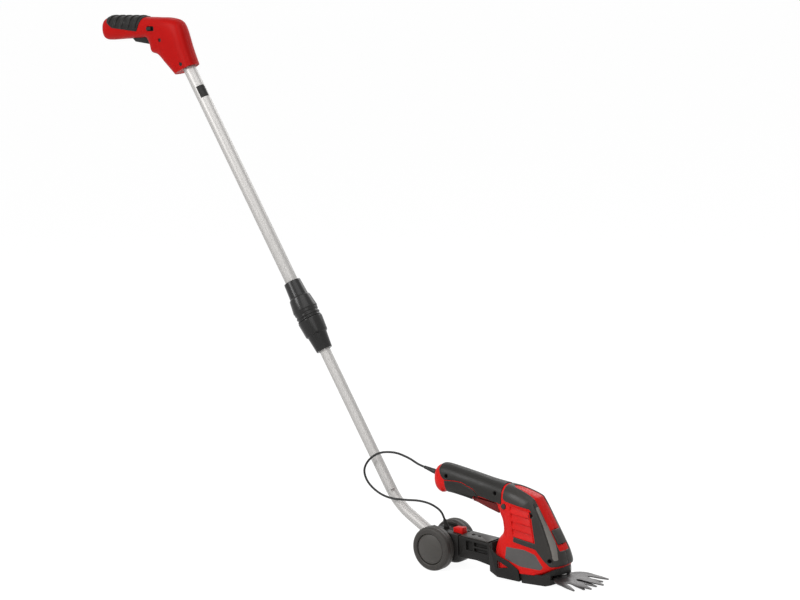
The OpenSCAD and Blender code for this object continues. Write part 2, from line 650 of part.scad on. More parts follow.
module blade_pivot() color(steel) blade_frame() {
    translate([0, 0, -post_d + wall]) cylinder(d = pivot_d, h = post_d - wall + blade_top + slip);
    translate([0, 0, blade_top + slip]) cylinder(d = 2 * pivot_d, h = pivot_head_t);
}
module blade_screws() color(steel) blade_frame() both_sides() translate(blade_screw) {
    cylinder(d1 = screw_d, d2 = head_d, h = blade_t);
    translate([0, 0, -post_d]) cylinder(d = screw_d, h = post_d + blade_t / 2);
}

// Carriage
cradle_t = 3;
cradle_w = body_w + 2 * seat;
module cradle() color(black) difference() {
    union() {
        slab(-cradle_w / 2 - cradle_t, cradle_w / 2 + cradle_t) cradle_outline(cradle_shares);
        slab(-boom_w / 2 - cradle_t, boom_w / 2 + cradle_t) cradle_outline(cradle_back_shares);
    }
    slab(-cradle_w / 2, cradle_w / 2) cradle_outline(cradle_bed_shares);
    slab(-body_w, body_w) cradle_outline(window_shares);
}
module boom() color(black) difference() {
    union() {
        slab(-boom_w / 2, boom_w / 2) polygon(concat([for (p = boom_shares) on_carriage(p)],
            [for (p = boom_front_shares) on_cradle(p)]));
        at_axle() translate([0.25 * wheel_d, -tongue_w / 2, -0.14 * wheel_d])
            cube([0.4 * wheel_d, tongue_w, tongue_h]);
    }
    for (c = boom_cells_shares) both_sides() slab(boom_w / 2 - 2 * cradle_t, boom_w) carriage_outline(c);
}
plate_shares = [[0.765, 0.805], [0.765, 0.83], [0.48, 0.76], [0.48, 0.7345]];
plate_hole_shares = [[0.69, 0.09], [0.63, 0.08]];
module boom_plate() color(dark) difference() {
    slab(-0.45 * boom_w, 0.45 * boom_w) carriage_outline(plate_shares);
    for (p = plate_hole_shares) translate([-wheelbase * p[0], 0, wheel_d / 2])
        cylinder(d = wheel_d * p[1], h = wheel_d);
}
module hub() difference() {
    union() {
        at_axle() slab(-hub_w / 2, hub_w / 2) polygon(wheel_d * hub_shares);
        at_axle() rotate([0, stub_rise - 90, 0]) translate([0, 0, wheel_d / 4])
            cylinder(d = 1.5 * lower_d, h = 0.22 * wheel_d);
    }
    bar_y(axle_p, axle_d + seat, -hub_w, hub_w);
    at_axle() {
        rotate([0, stub_rise - 90, 0]) translate([0, 0, stub_in]) cylinder(d = lower_d + seat, h = wheel_d);
        translate([0.25 * wheel_d - seat, -tongue_w / 2 - seat, -0.14 * wheel_d - seat])
            cube([wheel_d, tongue_w + 2 * seat, tongue_h + 2 * seat]);
        translate([button_x - slip, -button_w / 2 - slip, 0.14 * wheel_d])
            cube([wheel_d, button_w + 2 * slip, wheel_d]);
    }
    gland_frame() {
        translate([0, 0, -gland_h]) cylinder(d = 2 * cord_d + 2 * seat, h = 2 * gland_h);
        translate([0, 0, -seat]) cylinder(d = 2.4 * cord_d + 2 * seat, h = gland_h);
    }
}
module hub_left() color(black) intersection() {
    hub();
    at_axle() translate([-wheel_d, 0, -wheel_d]) cube([2 * wheel_d, wheel_d, 2 * wheel_d]);
}
module hub_right() color(black) intersection() {
    hub();
    at_axle() translate([-wheel_d, -wheel_d, -wheel_d]) cube([2 * wheel_d, wheel_d, 2 * wheel_d]);
}
module release_button() color(red) at_axle() {
    translate([button_x, -button_w / 2, 0.21 * wheel_d]) cube([button_l, button_w, button_h]);
}
module gland_frame() translate([gland_p.x, 0, gland_p.y]) rotate([0, gland_lean, 0]) children();
module cord_gland() color(black) gland_frame() difference() {
    union() {
        translate([0, 0, -gland_h / 2]) cylinder(d = 2 * cord_d, h = 0.6 * gland_h);
        cylinder(d1 = 2.4 * cord_d, d2 = 2 * cord_d, h = gland_h / 3);
        cylinder(d1 = 2 * cord_d, d2 = 1.5 * cord_d, h = gland_h);
    }
    translate([0, 0, -gland_h]) cylinder(d = cord_d + 2 * seat, h = 3 * gland_h);
}

module axle() color(steel) bar_y(axle_p, axle_d, -axle_end, axle_end);
module axle_clips() color(steel) both_sides() difference() {
    bar_y(axle_p, 2 * clip_r, clip_in, clip_in + clip_t);
    bar_y(axle_p, axle_d, 0, 2 * axle_end);
}
module wheel_turn() translate([axle_p.x, wheel_in, axle_p.y]) rotate([-90, 0, 0]) rotate_extrude() children();
module wheel() wheel_turn() polygon(concat(
    [for (p = tread_shares) [wheel_d / 2 * p.x, wheel_w * p.y]],
    [[cap_r + rim_edge, wheel_w], [cap_r, wheel_w - rim_edge], [cap_r, wheel_w - cap_t],
        [clip_r + rim_edge, wheel_w - cap_t], [clip_r + rim_edge, clip_in - wheel_in - slip],
        [axle_d / 2 + run, clip_in - wheel_in - slip], [axle_d / 2 + run, 0]]));
module wheel_left() color(black) wheel();
module wheel_right() color(black) right() wheel();
module wheel_cap() wheel_turn() translate([0, wheel_w - cap_t + seat]) polygon([[0, 0], [cap_r - seat, 0],
    [cap_r - seat, 0.7 * cap_t], [cap_r - 2 * rim_edge, 0.9 * cap_t], [0.5 * cap_r, cap_t], [0, cap_t]]);
module wheel_cap_left() color(dark) wheel_cap();
module wheel_cap_right() color(dark) right() wheel_cap();

// Pole
module tube_ring(d) difference() {
    circle(d = d);
    circle(d = d - 2 * tube_t);
}
module bent_rod(d) {
    at_axle() rotate([0, stub_rise - 90, 0]) translate([0, 0, stub_in])
        cylinder(d = d, h = stub_len - bend_cut - stub_in + bend_lap);
    translate([bend_p.x - bend_cut * stub_dir.x, 0, bend_p.y - bend_cut * stub_dir.y])
        rotate([0, stub_rise - 90, 0]) translate([bend_r, 0, 0]) rotate([90, 0, 0])
            rotate([0, 0, 180 - pole_rise + stub_rise]) rotate_extrude(angle = pole_rise - stub_rise)
                translate([bend_r, 0]) circle(d = d - bend_thin);
    on_pole(bend_cut - bend_lap) cylinder(d = d, h = lower_top - bend_cut + bend_lap);
}
module lower_tube() color(alloy) difference() {
    bent_rod(lower_d);
    bent_rod(lower_d - 2 * tube_t);
}
module guide_bush() color(black) on_pole(lower_top - bush_len) linear_extrude(bush_len) difference() {
    circle(d = upper_d - 2 * tube_t - 2 * run);
    circle(d = lower_d + seat);
}
module upper_tube() color(alloy) difference() {
    on_pole(upper_foot) linear_extrude(pole_len + tube_in - upper_foot) tube_ring(upper_d);
    bar_y(cross_p, screw_d + slip, -upper_d, upper_d);
}
cross_p = handle_p + 0.4 * upper_d * pole_dir;
module clamp_turn() on_pole(clamp_at) rotate_extrude() children();
module clamp_body() color(black) clamp_turn() polygon(concat(
    [[spigot_d / 2, nut_top], [clamp_d / 2 * clamp_shares[0].x, nut_top]],
    [for (p = clamp_shares) [clamp_d / 2 * p.x, clamp_len * p.y]],
    [[upper_d / 2 + seat, clamp_len], [upper_d / 2 + seat, upper_foot - clamp_at - seat],
        [lower_d / 2 + clamp_lip, upper_foot - clamp_at - seat], [lower_d / 2 + clamp_lip, lip_z],
        [collet_d / 2 + seat, lip_z], [collet_d / 2 + seat, collet_top + slip],
        [spigot_d / 2, collet_top + slip]]));
module collet() color(dark) difference() {
    clamp_turn() polygon([[lower_d / 2 + run, collet_z], [0.92 * collet_d / 2, collet_z],
        [spigot_d / 2, collet_top], [collet_d / 2, collet_top], [collet_d / 2, lip_z - seat],
        [lower_d / 2 + run, lip_z - seat]]);
    on_pole(clamp_at) for (k = [0 : 2]) rotate(60 * k) translate([-clamp_d, -slit_w / 2, 0])
        cube([2 * clamp_d, slit_w, 0.3 * clamp_len]);
}
module lock_nut() color(black) clamp_turn() polygon(concat(
    [for (p = nut_shares) [clamp_d / 2 * p.x, nut_len * p.y]],
    [[spigot_d / 2 + slip, nut_len], [spigot_d / 2 + slip, collet_top - slip],
        [0.97 * collet_d / 2, collet_z - slip], [lower_d / 2 + slip, collet_z - slip],
        [lower_d / 2 + slip, 0]]));

// Top handle
handle_post = on_handle(handle_screw_share);
handle_end = handle_w / 2 - wall / 2;
module handle_half() {
    difference() {
        union() {
            skin(handle_rows, 0, 11, -wall, 0);
            bar_y(handle_post, post_d, 0, handle_end);
            intersection() {
                core(handle_rows, 8, 11, -wall / 2);
                on_pole(pole_len + 3 * wall) translate([-handle_w, -handle_w, 0])
                    cube([2 * handle_w, 2 * handle_w, 3 * wall]);
            }
            bar_y(cross_p, post_d, upper_d / 2 + seat, handle_end - wall / 2);
        }
        on_pole(pole_len - handle_h) cylinder(d = upper_d + seat, h = handle_h + tube_in + wall);
        slab(-seat, handle_trigger_w / 2 + slip) handle_outline(handle_gap_shares);
        bar_y(on_handle(handle_pin_share), pin_d + 2 * run, 0, 0.74 * handle_w / 2);
        slab(0, handle_w) lock_outline(slider_gap, 0.25 * handle_lock_h);
    }
}
handle_lock_l = 11;
handle_lock_h = 6;
lock_proud = 1;
slider_gap = 6;
module lock_outline(gap, play) translate(on_handle(handle_lock_share))
    translate([-handle_lock_l / 2 - slip, -handle_lock_h / 2 - play])
        square([handle_lock_l + gap + 2 * slip, handle_lock_h + 2 * play]);
module handle_left() color(red) difference() {
    handle_half();
    for (p = [handle_post, cross_p]) bar_y(p, screw_d + seat, -seat, handle_end * 0.85);
}
module handle_right() color(red) right() difference() {
    handle_half();
    for (p = [handle_post, cross_p]) {
        bar_y(p, screw_d + slip, -seat, handle_w);
        bar_y(p, head_d + slip, handle_end - 1.2 * head_t, handle_w);
    }
}
module handle_screws() color(steel) right() for (p = [handle_post, cross_p])
    screw_y(p, handle_end - 1.2 * head_t, -handle_end * 0.8);
module handle_pad() color(black) intersection() {
    union() {
        skin(handle_rows, 1, 6.5, slip, clad_t, pad_angles[0], pad_angles[1]);
        intersection() {
            skin(handle_rows, 1, 6.5, clad_t / 2, 1.7 * clad_t, pad_angles[0], pad_angles[1]);
            slab(-handle_w, handle_w) for (i = [0 : rib_count - 1])
                handle_outline([for (p = rib_shares) p + [i * rib_pitch_share, 0]]);
        }
    }
    slab(-handle_w, handle_w) handle_outline(pad_shares);
}
handle_trigger_w = 15;
module handle_trigger() color(black) {
    slab(-handle_trigger_w / 2, handle_trigger_w / 2) handle_outline(handle_trigger_shares);
    bar_y(on_handle(handle_pin_share), pin_d, -0.72 * handle_w / 2, 0.72 * handle_w / 2);
}
module handle_lock() color(black) slab(-handle_w / 2 - lock_proud, handle_w / 2 + lock_proud)
    translate(on_handle(handle_lock_share) - [handle_lock_l, handle_lock_h] / 2)
        square([handle_lock_l, handle_lock_h]);
module handle_switch() color(dark) difference() {
    slab(-2 * wall, 2 * wall) translate(handle_post) translate([-2.6 * post_d, -post_d])
        square([3.6 * post_d, 1.7 * post_d]);
    bar_y(handle_post, post_d + 2 * seat, -handle_w, handle_w);
}

// Cord
plug_end = plug_len + wall;
plug_tail = [socket_p.x - plug_end * cos(plug_tilt), 0, socket_p.y + plug_end * sin(plug_tilt)];
gland_top = [gland_p.x + gland_h * sin(gland_lean), 0, gland_p.y + gland_h * cos(gland_lean)];
cord_points = concat([plug_tail], cord_route, [gland_top]);
cord_sides = 8;
cord_steps = 2;
cord_line = [for (k = [0 : len(cord_points) - 2]) for (t = [0 : cord_steps - 1])
    spline(pick(cord_points, k - 1), cord_points[k], cord_points[k + 1], pick(cord_points, k + 2),
        t / cord_steps), gland_top];
module cord() color(black) {
    n = len(cord_line);
    rings = [for (i = [0 : n - 1]) let (
            d = i == 0 ? [-cos(plug_tilt), 0, sin(plug_tilt)]
                : i == n - 1 ? [-sin(gland_lean), 0, -cos(gland_lean)] : cord_line[i + 1] - cord_line[i - 1],
            w = d / norm(d), u = cross(w, [0, 1, 0]) / norm(cross(w, [0, 1, 0])), v = cross(w, u))
        [for (j = [0 : cord_sides - 1]) cord_line[i] + cord_d / 2 * (u * cos(j * 45) + v * sin(j * 45))]];
    strip(rings, [[for (j = [0 : cord_sides - 1]) j]], [[for (j = [cord_sides - 1 : -1 : 0]) j]]);
}
module cord_plug() color(black) plug_frame() {
    translate([0, 0, wall + 2 * seat]) cylinder(d = plug_d, h = plug_len / 4);
    translate([0, 0, wall + 2 * seat + plug_len / 4])
        cylinder(d1 = 0.85 * plug_d, d2 = 1.15 * cord_d, h = 3 * plug_len / 4 - 2 * seat);
    translate([0, 0, -2 * wall + seat]) cylinder(d = pin_hole_d - 2 * seat, h = 4 * wall);
}

housing_left();
housing_right();
grip_pad_left();
grip_pad_right();
palm_pad_left();
palm_pad_right();
side_cover_left();
side_cover_right();
vent_left();
vent_right();
housing_screws();
trigger();
lock_button();
front_button();
charge_socket();
battery_tray();
battery_cells();
control_board();
micro_switch();
motor();
motor_pinion();
drive_gear();
gear_plate();
base_tray();
fixed_blade();
moving_blade();
blade_pivot();
blade_screws();
cradle();
boom();
boom_plate();
hub_left();
hub_right();
release_button();
cord_gland();
axle();
axle_clips();
wheel_left();
wheel_right();
wheel_cap_left();
wheel_cap_right();
lower_tube();
guide_bush();
upper_tube();
clamp_body();
collet();
lock_nut();
handle_left();
handle_right();
handle_pad();
handle_trigger();
handle_lock();
handle_switch();
handle_screws();
cord();
cord_plug();
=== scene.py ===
import json
import math

import bmesh
import bpy
import numpy as np
from mathutils import Matrix, Vector


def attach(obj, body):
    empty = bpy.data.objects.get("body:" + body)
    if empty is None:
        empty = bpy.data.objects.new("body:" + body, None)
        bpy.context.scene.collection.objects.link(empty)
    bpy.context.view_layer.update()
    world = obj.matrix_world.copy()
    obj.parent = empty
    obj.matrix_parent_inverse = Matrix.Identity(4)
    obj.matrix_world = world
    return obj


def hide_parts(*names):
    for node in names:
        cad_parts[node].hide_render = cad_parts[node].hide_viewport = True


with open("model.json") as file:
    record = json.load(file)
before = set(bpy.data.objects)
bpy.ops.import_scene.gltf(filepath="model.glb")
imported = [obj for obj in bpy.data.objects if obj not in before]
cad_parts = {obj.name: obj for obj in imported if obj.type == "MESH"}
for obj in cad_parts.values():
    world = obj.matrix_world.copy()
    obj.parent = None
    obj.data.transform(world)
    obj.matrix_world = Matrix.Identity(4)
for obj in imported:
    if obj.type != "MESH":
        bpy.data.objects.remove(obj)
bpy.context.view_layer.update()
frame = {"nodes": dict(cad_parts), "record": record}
SCENE = bpy.context.scene
MM = 0.001

# Camera at the photograph's viewing angle
EYE = Vector((2.62817, -3.66563, 1.22346))
EYE_RIGHT = Vector((0.7865027, 0.6156013, -0.0494826))
EYE_UP = Vector((-0.0583866, 0.1538805, 0.9863629))
EYE_BACK = Vector((0.6148207, -0.7728880, 0.1569703))
LENS_MM = 119.67
SENSOR_MM = 36.0
CLIP_END = 100.0


def add_camera():
    data = bpy.data.cameras.new("photo_camera")
    data.sensor_fit = "HORIZONTAL"
    data.sensor_width = SENSOR_MM
    data.lens = LENS_MM
    data.clip_end = CLIP_END
    camera = bpy.data.objects.new("photo_camera", data)
    SCENE.collection.objects.link(camera)
    axes = Matrix((EYE_RIGHT, EYE_UP, EYE_BACK)).transposed().to_4x4()
    camera.matrix_world = Matrix.Translation(EYE) @ axes
    SCENE.camera = camera


add_camera()

# Materials
TONE_SCALE = 14.0
GLOSS_SCALE = 60.0
GLOSS_SWING = 0.12
EDGE_POINTINESS = (0.5, 0.62)
EDGE_GAIN = 1.6
EDGE_ADD = 0.02
COAT_ROUGH = 0.15
RAMP_STOPS = (0.3, 0.7)
GRAIN_DETAIL = 2.0
STREAK_DETAIL = 4.0


def node_tree(name):
    mat = bpy.data.materials.new(name)
    mat.use_nodes = True
    return mat, mat.node_tree


def put(node, name, value):
    node.inputs[name].default_value = value


def link(tree, a, a_out, b, b_in):
    tree.links.new(a.outputs[a_out], b.inputs[b_in])


def noise_node(tree, scale, detail=3.0, stretch=(1, 1, 1), turn=0.0):
    """Noise that stays on the piece; stretch draws it out along an axis."""
    coord = tree.nodes.new("ShaderNodeTexCoord")
    mapping = tree.nodes.new("ShaderNodeMapping")
    mapping.vector_type = "TEXTURE"
    put(mapping, "Rotation", (0.0, turn, 0.0))
    put(mapping, "Scale", stretch)
    tex = tree.nodes.new("ShaderNodeTexNoise")
    put(tex, "Scale", scale)
    put(tex, "Detail", detail)
    link(tree, coord, "Object", mapping, "Vector")
    link(tree, mapping, "Vector", tex, "Vector")
    return tex


def ramp_node(tree, source, low, high):
    """Colour ramp between two colours or two plain values."""
    ramp = tree.nodes.new("ShaderNodeValToRGB")
    for stop, place, value in zip(ramp.color_ramp.elements, RAMP_STOPS, (low, high)):
        stop.position = place
        stop.color = (*value, 1.0) if isinstance(value, tuple) else (value, value, value, 1.0)
    link(tree, source, "Fac", ramp, "Fac")
    return ramp


def swing(colour, share):
    """A colour made darker and paler by a share."""
    return tuple(c * (1 - share) for c in colour), tuple(min(1.0, c * (1 + share)) for c in colour)


def add_gloss(tree, source, rough, share):
    """Roughness that swings by a share with a noise."""
    gloss = ramp_node(tree, source, rough * (1 - share), min(1.0, rough * (1 + share)))
    link(tree, gloss, "Color", tree.nodes["Principled BSDF"], "Roughness")


def add_bump(tree, source, depth):
    bump = tree.nodes.new("ShaderNodeBump")
    put(bump, "Distance", depth)
    link(tree, source, "Fac", bump, "Height")
    link(tree, bump, "Normal", tree.nodes["Principled BSDF"], "Normal")


def plastic(name, colour, rough, grain=900.0, depth=0.00004, vary=0.12, coat=0.0, edge_paling=0.0, shine=0.3):
    """Plastic or rubber: colour drift, uneven gloss, a fine grain and paler edges."""
    mat, tree = node_tree(name)
    shader = tree.nodes["Principled BSDF"]
    tone = ramp_node(tree, noise_node(tree, TONE_SCALE), *swing(colour, vary))
    # Sharp edges turn paler, by up to this share.
    if edge_paling:
        geometry = tree.nodes.new("ShaderNodeNewGeometry")
        edge = tree.nodes.new("ShaderNodeMapRange")
        put(edge, "From Min", EDGE_POINTINESS[0])
        put(edge, "From Max", EDGE_POINTINESS[1])
        put(edge, "To Max", edge_paling)
        link(tree, geometry, "Pointiness", edge, "Value")
        mix = tree.nodes.new("ShaderNodeMix")
        mix.data_type = "RGBA"
        put(mix, "B", (*(min(1.0, c * EDGE_GAIN + EDGE_ADD) for c in colour), 1.0))
        link(tree, edge, "Result", mix, "Factor")
        link(tree, tone, "Color", mix, "A")
        link(tree, mix, "Result", shader, "Base Color")
    else:
        link(tree, tone, "Color", shader, "Base Color")
    add_gloss(tree, noise_node(tree, GLOSS_SCALE), rough, GLOSS_SWING)
    add_bump(tree, noise_node(tree, grain, GRAIN_DETAIL), depth)
    put(shader, "Specular IOR Level", shine)
    if coat:
        put(shader, "Coat Weight", coat)
        put(shader, "Coat Roughness", COAT_ROUGH)
    return mat


def metal(name, colour, rough, stretch, scale=300.0, depth=0.00002, vary=0.1, turn=0.0, even=0.2,
          metallic=1.0):
    """Metal with streaks along its working direction in colour, gloss and relief."""
    mat, tree = node_tree(name)
    shader = tree.nodes["Principled BSDF"]
    put(shader, "Metallic", metallic)
    streaks = noise_node(tree, scale, STREAK_DETAIL, stretch, turn)
    link(tree, ramp_node(tree, streaks, *swing(colour, vary)), "Color", shader, "Base Color")
    add_gloss(tree, streaks, rough, even)
    if depth:
        add_bump(tree, streaks, depth)
    return mat


POLE_RISE = math.radians(60.4)
STUB_RISE = math.radians(32.0)
POLE_TURN = POLE_RISE - math.pi / 2
RED = plastic("red_shell", (0.6, 0.009, 0.007), 0.38, vary=0.05, shine=0.12)
# Deeper copy of the housing red for the top handle: painted shade for the dimmer light on it.
HANDLE_SHADED_RED = plastic("handle_shaded_red", (0.4, 0.0045, 0.0035), 0.42, vary=0.05, shine=0.08)
# Darker red of the trigger and its side walls: painted shade for the shadow under the grip.
PAINTED_SHADE_RED = plastic("painted_shade_red", (0.135, 0.013, 0.012), 0.4, vary=0.06, shine=0.15)
RUBBER = plastic("grip_rubber", (0.016, 0.015, 0.0135), 0.4, grain=1500.0, depth=0.00006, edge_paling=0.25,
                 shine=0.2)
DARK = plastic("dark_plastic", (0.03, 0.0275, 0.025), 0.36, grain=1100.0, edge_paling=0.2, shine=0.2)
BLACK = plastic("black_plastic", (0.0135, 0.0128, 0.012), 0.4, grain=1000.0, edge_paling=0.3, shine=0.14)
GLOSS_BLACK = plastic("gloss_black", (0.015, 0.0145, 0.0142), 0.27, coat=0.08, edge_paling=0.2, shine=0.2)
WHEEL = plastic("wheel_plastic", (0.042, 0.0385, 0.035), 0.46, grain=800.0, depth=0.00008, edge_paling=0.2,
                shine=0.24)
CAP = plastic("cap_plastic", (0.056, 0.052, 0.047), 0.42, grain=800.0, depth=0.00008, edge_paling=0.2)
# Lighter grey of the strip on the cover's facet: a painted highlight where the chamfer catches the light.
FACET_HIGHLIGHT = plastic("facet_painted_highlight", (0.15, 0.14, 0.128), 0.34, grain=1100.0)
LABEL = plastic("plain_label", (0.085, 0.08, 0.078), 0.45, grain=400.0, depth=0.00001)
BOARD = plastic("board", (0.02, 0.12, 0.04), 0.4)
LEAD = plastic("lead", (0.01, 0.01, 0.01), 0.38, grain=1200.0)
# Near-black lining of the screw holes: painted shade in the holes.
HOLE_SHADE = plastic("well", (0.006, 0.004, 0.004), 0.7)
# Dark red floor behind the louvers: painted shade in the gaps between the slats.
VENT_SHADE = plastic("vent_well", (0.1, 0.004, 0.004), 0.6)
SCREW = metal("dark_screw", (0.03, 0.03, 0.03), 0.4, (1, 1, 1))
STEEL = metal("steel", (0.42, 0.42, 0.41), 0.34, (1, 1, 1))
BLADE = metal("blade_steel", (0.094, 0.091, 0.091), 0.42, (1, 0.1, 1), 220.0)
ALLOY = metal("alloy", (0.44, 0.428, 0.415), 0.46, (1.0, 1.0, 40.0), 60.0, depth=0.0, vary=0.03,
              turn=POLE_TURN, even=0.05, metallic=0.35)

SLOT_MATERIALS = {"red_shell": RED, "grip_rubber": RUBBER, "dark_plastic": DARK, "black_plastic": BLACK,
                  "wheel_plastic": WHEEL, "board": BOARD, "steel": STEEL, "blade_steel": BLADE,
                  "alloy": ALLOY, "lead": LEAD}
SCREW_NODES = ("housing_screws", "handle_screws")
NODE_SLOT = {sub["node"]: sub["material_slot"] for sub in frame["record"]["subparts"]}
NODE_BODY = {node: body for body, nodes in frame["record"]["behaviour"]["bodies"].items() for node in nodes}
for node, obj in frame["nodes"].items():
    obj.data.materials.clear()
    obj.data.materials.append(SCREW if node in SCREW_NODES else SLOT_MATERIALS[NODE_SLOT[node]])

# Pieces
EASE_SEGMENTS = 2
EASE_ANGLE = math.radians(28.0)
FLAT_ANGLE = math.radians(1.0)
MERGE = 0.02
WELD = 0.001
TURNED_WELD = 0.01
SHARP = 38.0
TURNED_SHARP = 40.0
TUBE_SHARP = 30.0
HALVES = ((1, "left"), (-1, "right"))
SMALL_SIDES = 48


def add_piece(name, mesh, material, node, replaced, sharp):
    """Links a mesh as a piece that rides with a node's body."""
    mesh.materials.append(material)
    mesh.polygons.foreach_set("use_smooth", [True] * len(mesh.polygons))
    mesh.set_sharp_from_angle(angle=math.radians(sharp))
    obj = bpy.data.objects.new(name, mesh)
    SCENE.collection.objects.link(obj)
    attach(obj, NODE_BODY[node])
    if replaced:
        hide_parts(*replaced)
    return obj


def add_body(name, body, material, node, replaced=(), weld=0.0, sharp=SHARP):
    """A piece from points in millimetres and faces; weld joins points that lie closer than that."""
    points, faces = body
    mesh = bpy.data.meshes.new(name)
    mesh.from_pydata([tuple(float(c) * MM for c in p) for p in points], [], [tuple(f) for f in faces])
    mesh.validate()
    if weld:
        bm = bmesh.new()
        bm.from_mesh(mesh)
        bmesh.ops.remove_doubles(bm, verts=bm.verts, dist=weld * MM)
        bmesh.ops.recalc_face_normals(bm, faces=bm.faces)
        bm.to_mesh(mesh)
        bm.free()
    return add_piece(name, mesh, material, node, replaced, sharp)


def eased(node, width, material, sharp=SHARP):
    """A copy of a node's mesh with its hard edges rounded over."""
    source = frame["nodes"][node]
    bm = bmesh.new()
    bm.from_mesh(source.data)
    bm.transform(source.matrix_world)
    bmesh.ops.remove_doubles(bm, verts=bm.verts, dist=MERGE * MM)
    bmesh.ops.dissolve_limit(bm, angle_limit=FLAT_ANGLE, verts=bm.verts, edges=bm.edges)
    if width:
        edges = [e for e in bm.edges if len(e.link_faces) == 2 and e.calc_face_angle(0.0) > EASE_ANGLE]
        bmesh.ops.bevel(bm, geom=edges, offset=width * MM, segments=EASE_SEGMENTS, profile=0.5,
                        affect="EDGES", clamp_overlap=False)
    mesh = bpy.data.meshes.new(node + "_eased")
    bm.to_mesh(mesh)
    bm.free()
    add_piece(node + "_eased", mesh, material, node, (node,), sharp)


def spline(a, b, c, d, t):
    """Smooth curve from b to c; a and d are the points before and after."""
    return (b + (c - a) * t / 2 + (a - 2.5 * b + 2 * c - d / 2) * t * t
            + (1.5 * b - a / 2 - 1.5 * c + d / 2) * t ** 3)


# Turned pieces
CORNER_SHARE = 0.42
CORNER_STEPS = 3
NEAR = 1e-6
ALONG_Y = 0.9


def softened(profile, radius):
    """A closed profile with its corners rounded."""
    out = []
    n = len(profile)
    for i in range(n):
        a, b, c = (np.array(profile[(i + e) % n], float) for e in (-1, 0, 1))
        la, lc = np.linalg.norm(a - b), np.linalg.norm(c - b)
        if b[0] < NEAR or min(la, lc) < NEAR:
            out.append(tuple(b))
            continue
        start = b + (a - b) * min(radius, CORNER_SHARE * la) / la
        end = b + (c - b) * min(radius, CORNER_SHARE * lc) / lc
        for t in np.linspace(0, 1, CORNER_STEPS + 1):
            out.append(tuple((1 - t) ** 2 * start + 2 * t * (1 - t) * b + t * t * end))
    return out


def bands(pairs, n):
    """Faces between pairs of rings of n points."""
    return [[a * n + k, a * n + (k + 1) % n, b * n + (k + 1) % n, b * n + k]
            for a, b in pairs for k in range(n)]


def turned(profile, origin, axis, segments, flutes=None):
    """Closed (radius, height) profile turned about an axis; flutes gives the lowest and highest place, count,
    depth and least radius of its grooves."""
    w = np.array(axis, float) / np.linalg.norm(axis)
    u = np.cross(w, (0.0, 1.0, 0.0) if abs(w[1]) < ALONG_Y else (1.0, 0.0, 0.0))
    u /= np.linalg.norm(u)
    v = np.cross(w, u)
    points = []
    for r, h in profile:
        for k in range(segments):
            turn = 2 * math.pi * k / segments
            radius = r
            if flutes and flutes[0] <= h <= flutes[1] and r > flutes[4]:
                radius -= flutes[3] * max(0.0, math.cos(turn * flutes[2])) ** 0.5
            points.append(np.array(origin) + w * h + radius * (u * math.cos(turn) + v * math.sin(turn)))
    n = len(profile)
    return points, bands([(i, (i + 1) % n) for i in range(n)], segments)


def add_turned(name, node, material, profile, origin, axis, soft, segments, flutes=None):
    """A turned piece in place of a node; soft rounds its corners."""
    body = turned(softened(profile, soft), origin, axis, segments, flutes)
    return add_body(name, body, material, node, (node,), TURNED_WELD, TURNED_SHARP)


# Free lead from the plug to the gland, with the route of its solid
CORD_D = 0.004
CORD_ROUTE = [(-264, -1, 182), (-283, -6, 193), (-308, -12, 201), (-337, -18, 199), (-360, -22, 185),
              (-371, -24, 165), (-364, -24, 144), (-344, -22, 127), (-319, -19, 118), (-287, -16, 117),
              (-256, -14, 118), (-233, -9, 113), (-217, -3, 101)]
PLUG_TILT = math.radians(14.0)
PLUG_END = 28.4
SOCKET = (-223.01, 0.0, 171.0)
PLUG_AXIS = (-math.cos(PLUG_TILT), 0.0, math.sin(PLUG_TILT))
PLUG_TAIL = [s + PLUG_END * a for s, a in zip(SOCKET, PLUG_AXIS)]
GLAND_TOP = (-211.186, 0.0, 85.944)
CORD_STEPS = 4
CORD_RESOLUTION = 4
PLUG_R = 4.5
PLUG_FOOT = 3.0
PLUG_HEAD = 9.5
RELIEF_R = (4.1, 2.9)
RELIEF_RINGS = 5
RING_DEPTH = 0.5
RING_SHARES = (0.3, 0.35)
PLUG_SOFT = 0.25


def plug_profile():
    """Round head with a ribbed strain relief behind it."""
    profile = [(0.0, PLUG_FOOT), (PLUG_R, PLUG_FOOT), (PLUG_R, PLUG_HEAD)]
    pitch = (PLUG_END - PLUG_HEAD) / RELIEF_RINGS
    for k in range(RELIEF_RINGS):
        radius = RELIEF_R[0] + (RELIEF_R[1] - RELIEF_R[0]) * k / (RELIEF_RINGS - 1)
        low = PLUG_HEAD + k * pitch
        profile += [(radius - RING_DEPTH, low), (radius - RING_DEPTH, low + RING_SHARES[0] * pitch),
                    (radius, low + RING_SHARES[1] * pitch), (radius, low + pitch)]
    return profile + [(0.0, PLUG_END)]


def smooth_route(points):
    pts = [np.array(p, float) for p in points]
    line = []
    for k in range(len(pts) - 1):
        four = [pts[max(0, min(len(pts) - 1, k + e))] for e in (-1, 0, 1, 2)]
        line += [spline(*four, i / CORD_STEPS) for i in range(CORD_STEPS)]
    return np.array(line + [pts[-1]]) * MM


def add_cord():
    line = smooth_route([PLUG_TAIL, *CORD_ROUTE, GLAND_TOP])
    data = bpy.data.curves.new("lead_loop", "CURVE")
    data.dimensions = "3D"
    data.bevel_depth = CORD_D / 2
    data.bevel_resolution = CORD_RESOLUTION
    data.use_fill_caps = True
    run = data.splines.new("POLY")
    run.points.add(len(line) - 1)
    for point, place in zip(run.points, line):
        point.co = (*place, 1.0)
    run.use_smooth = True
    data.materials.append(LEAD)
    obj = bpy.data.objects.new("lead_loop", data)
    SCENE.collection.objects.link(obj)
    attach(obj, NODE_BODY["cord"])
    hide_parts("cord")
    plug = add_turned("plug_relief", "cord_plug", LEAD, plug_profile(), SOCKET, PLUG_AXIS, PLUG_SOFT,
                      SMALL_SIDES)


add_cord()


# Lofted mouldings: a sheet is a set of polygons on a loft, with their points and outward normals
class Sheet:
    def __init__(self, co, no, polys):
        self.co, self.no, self.polys = co, no, polys


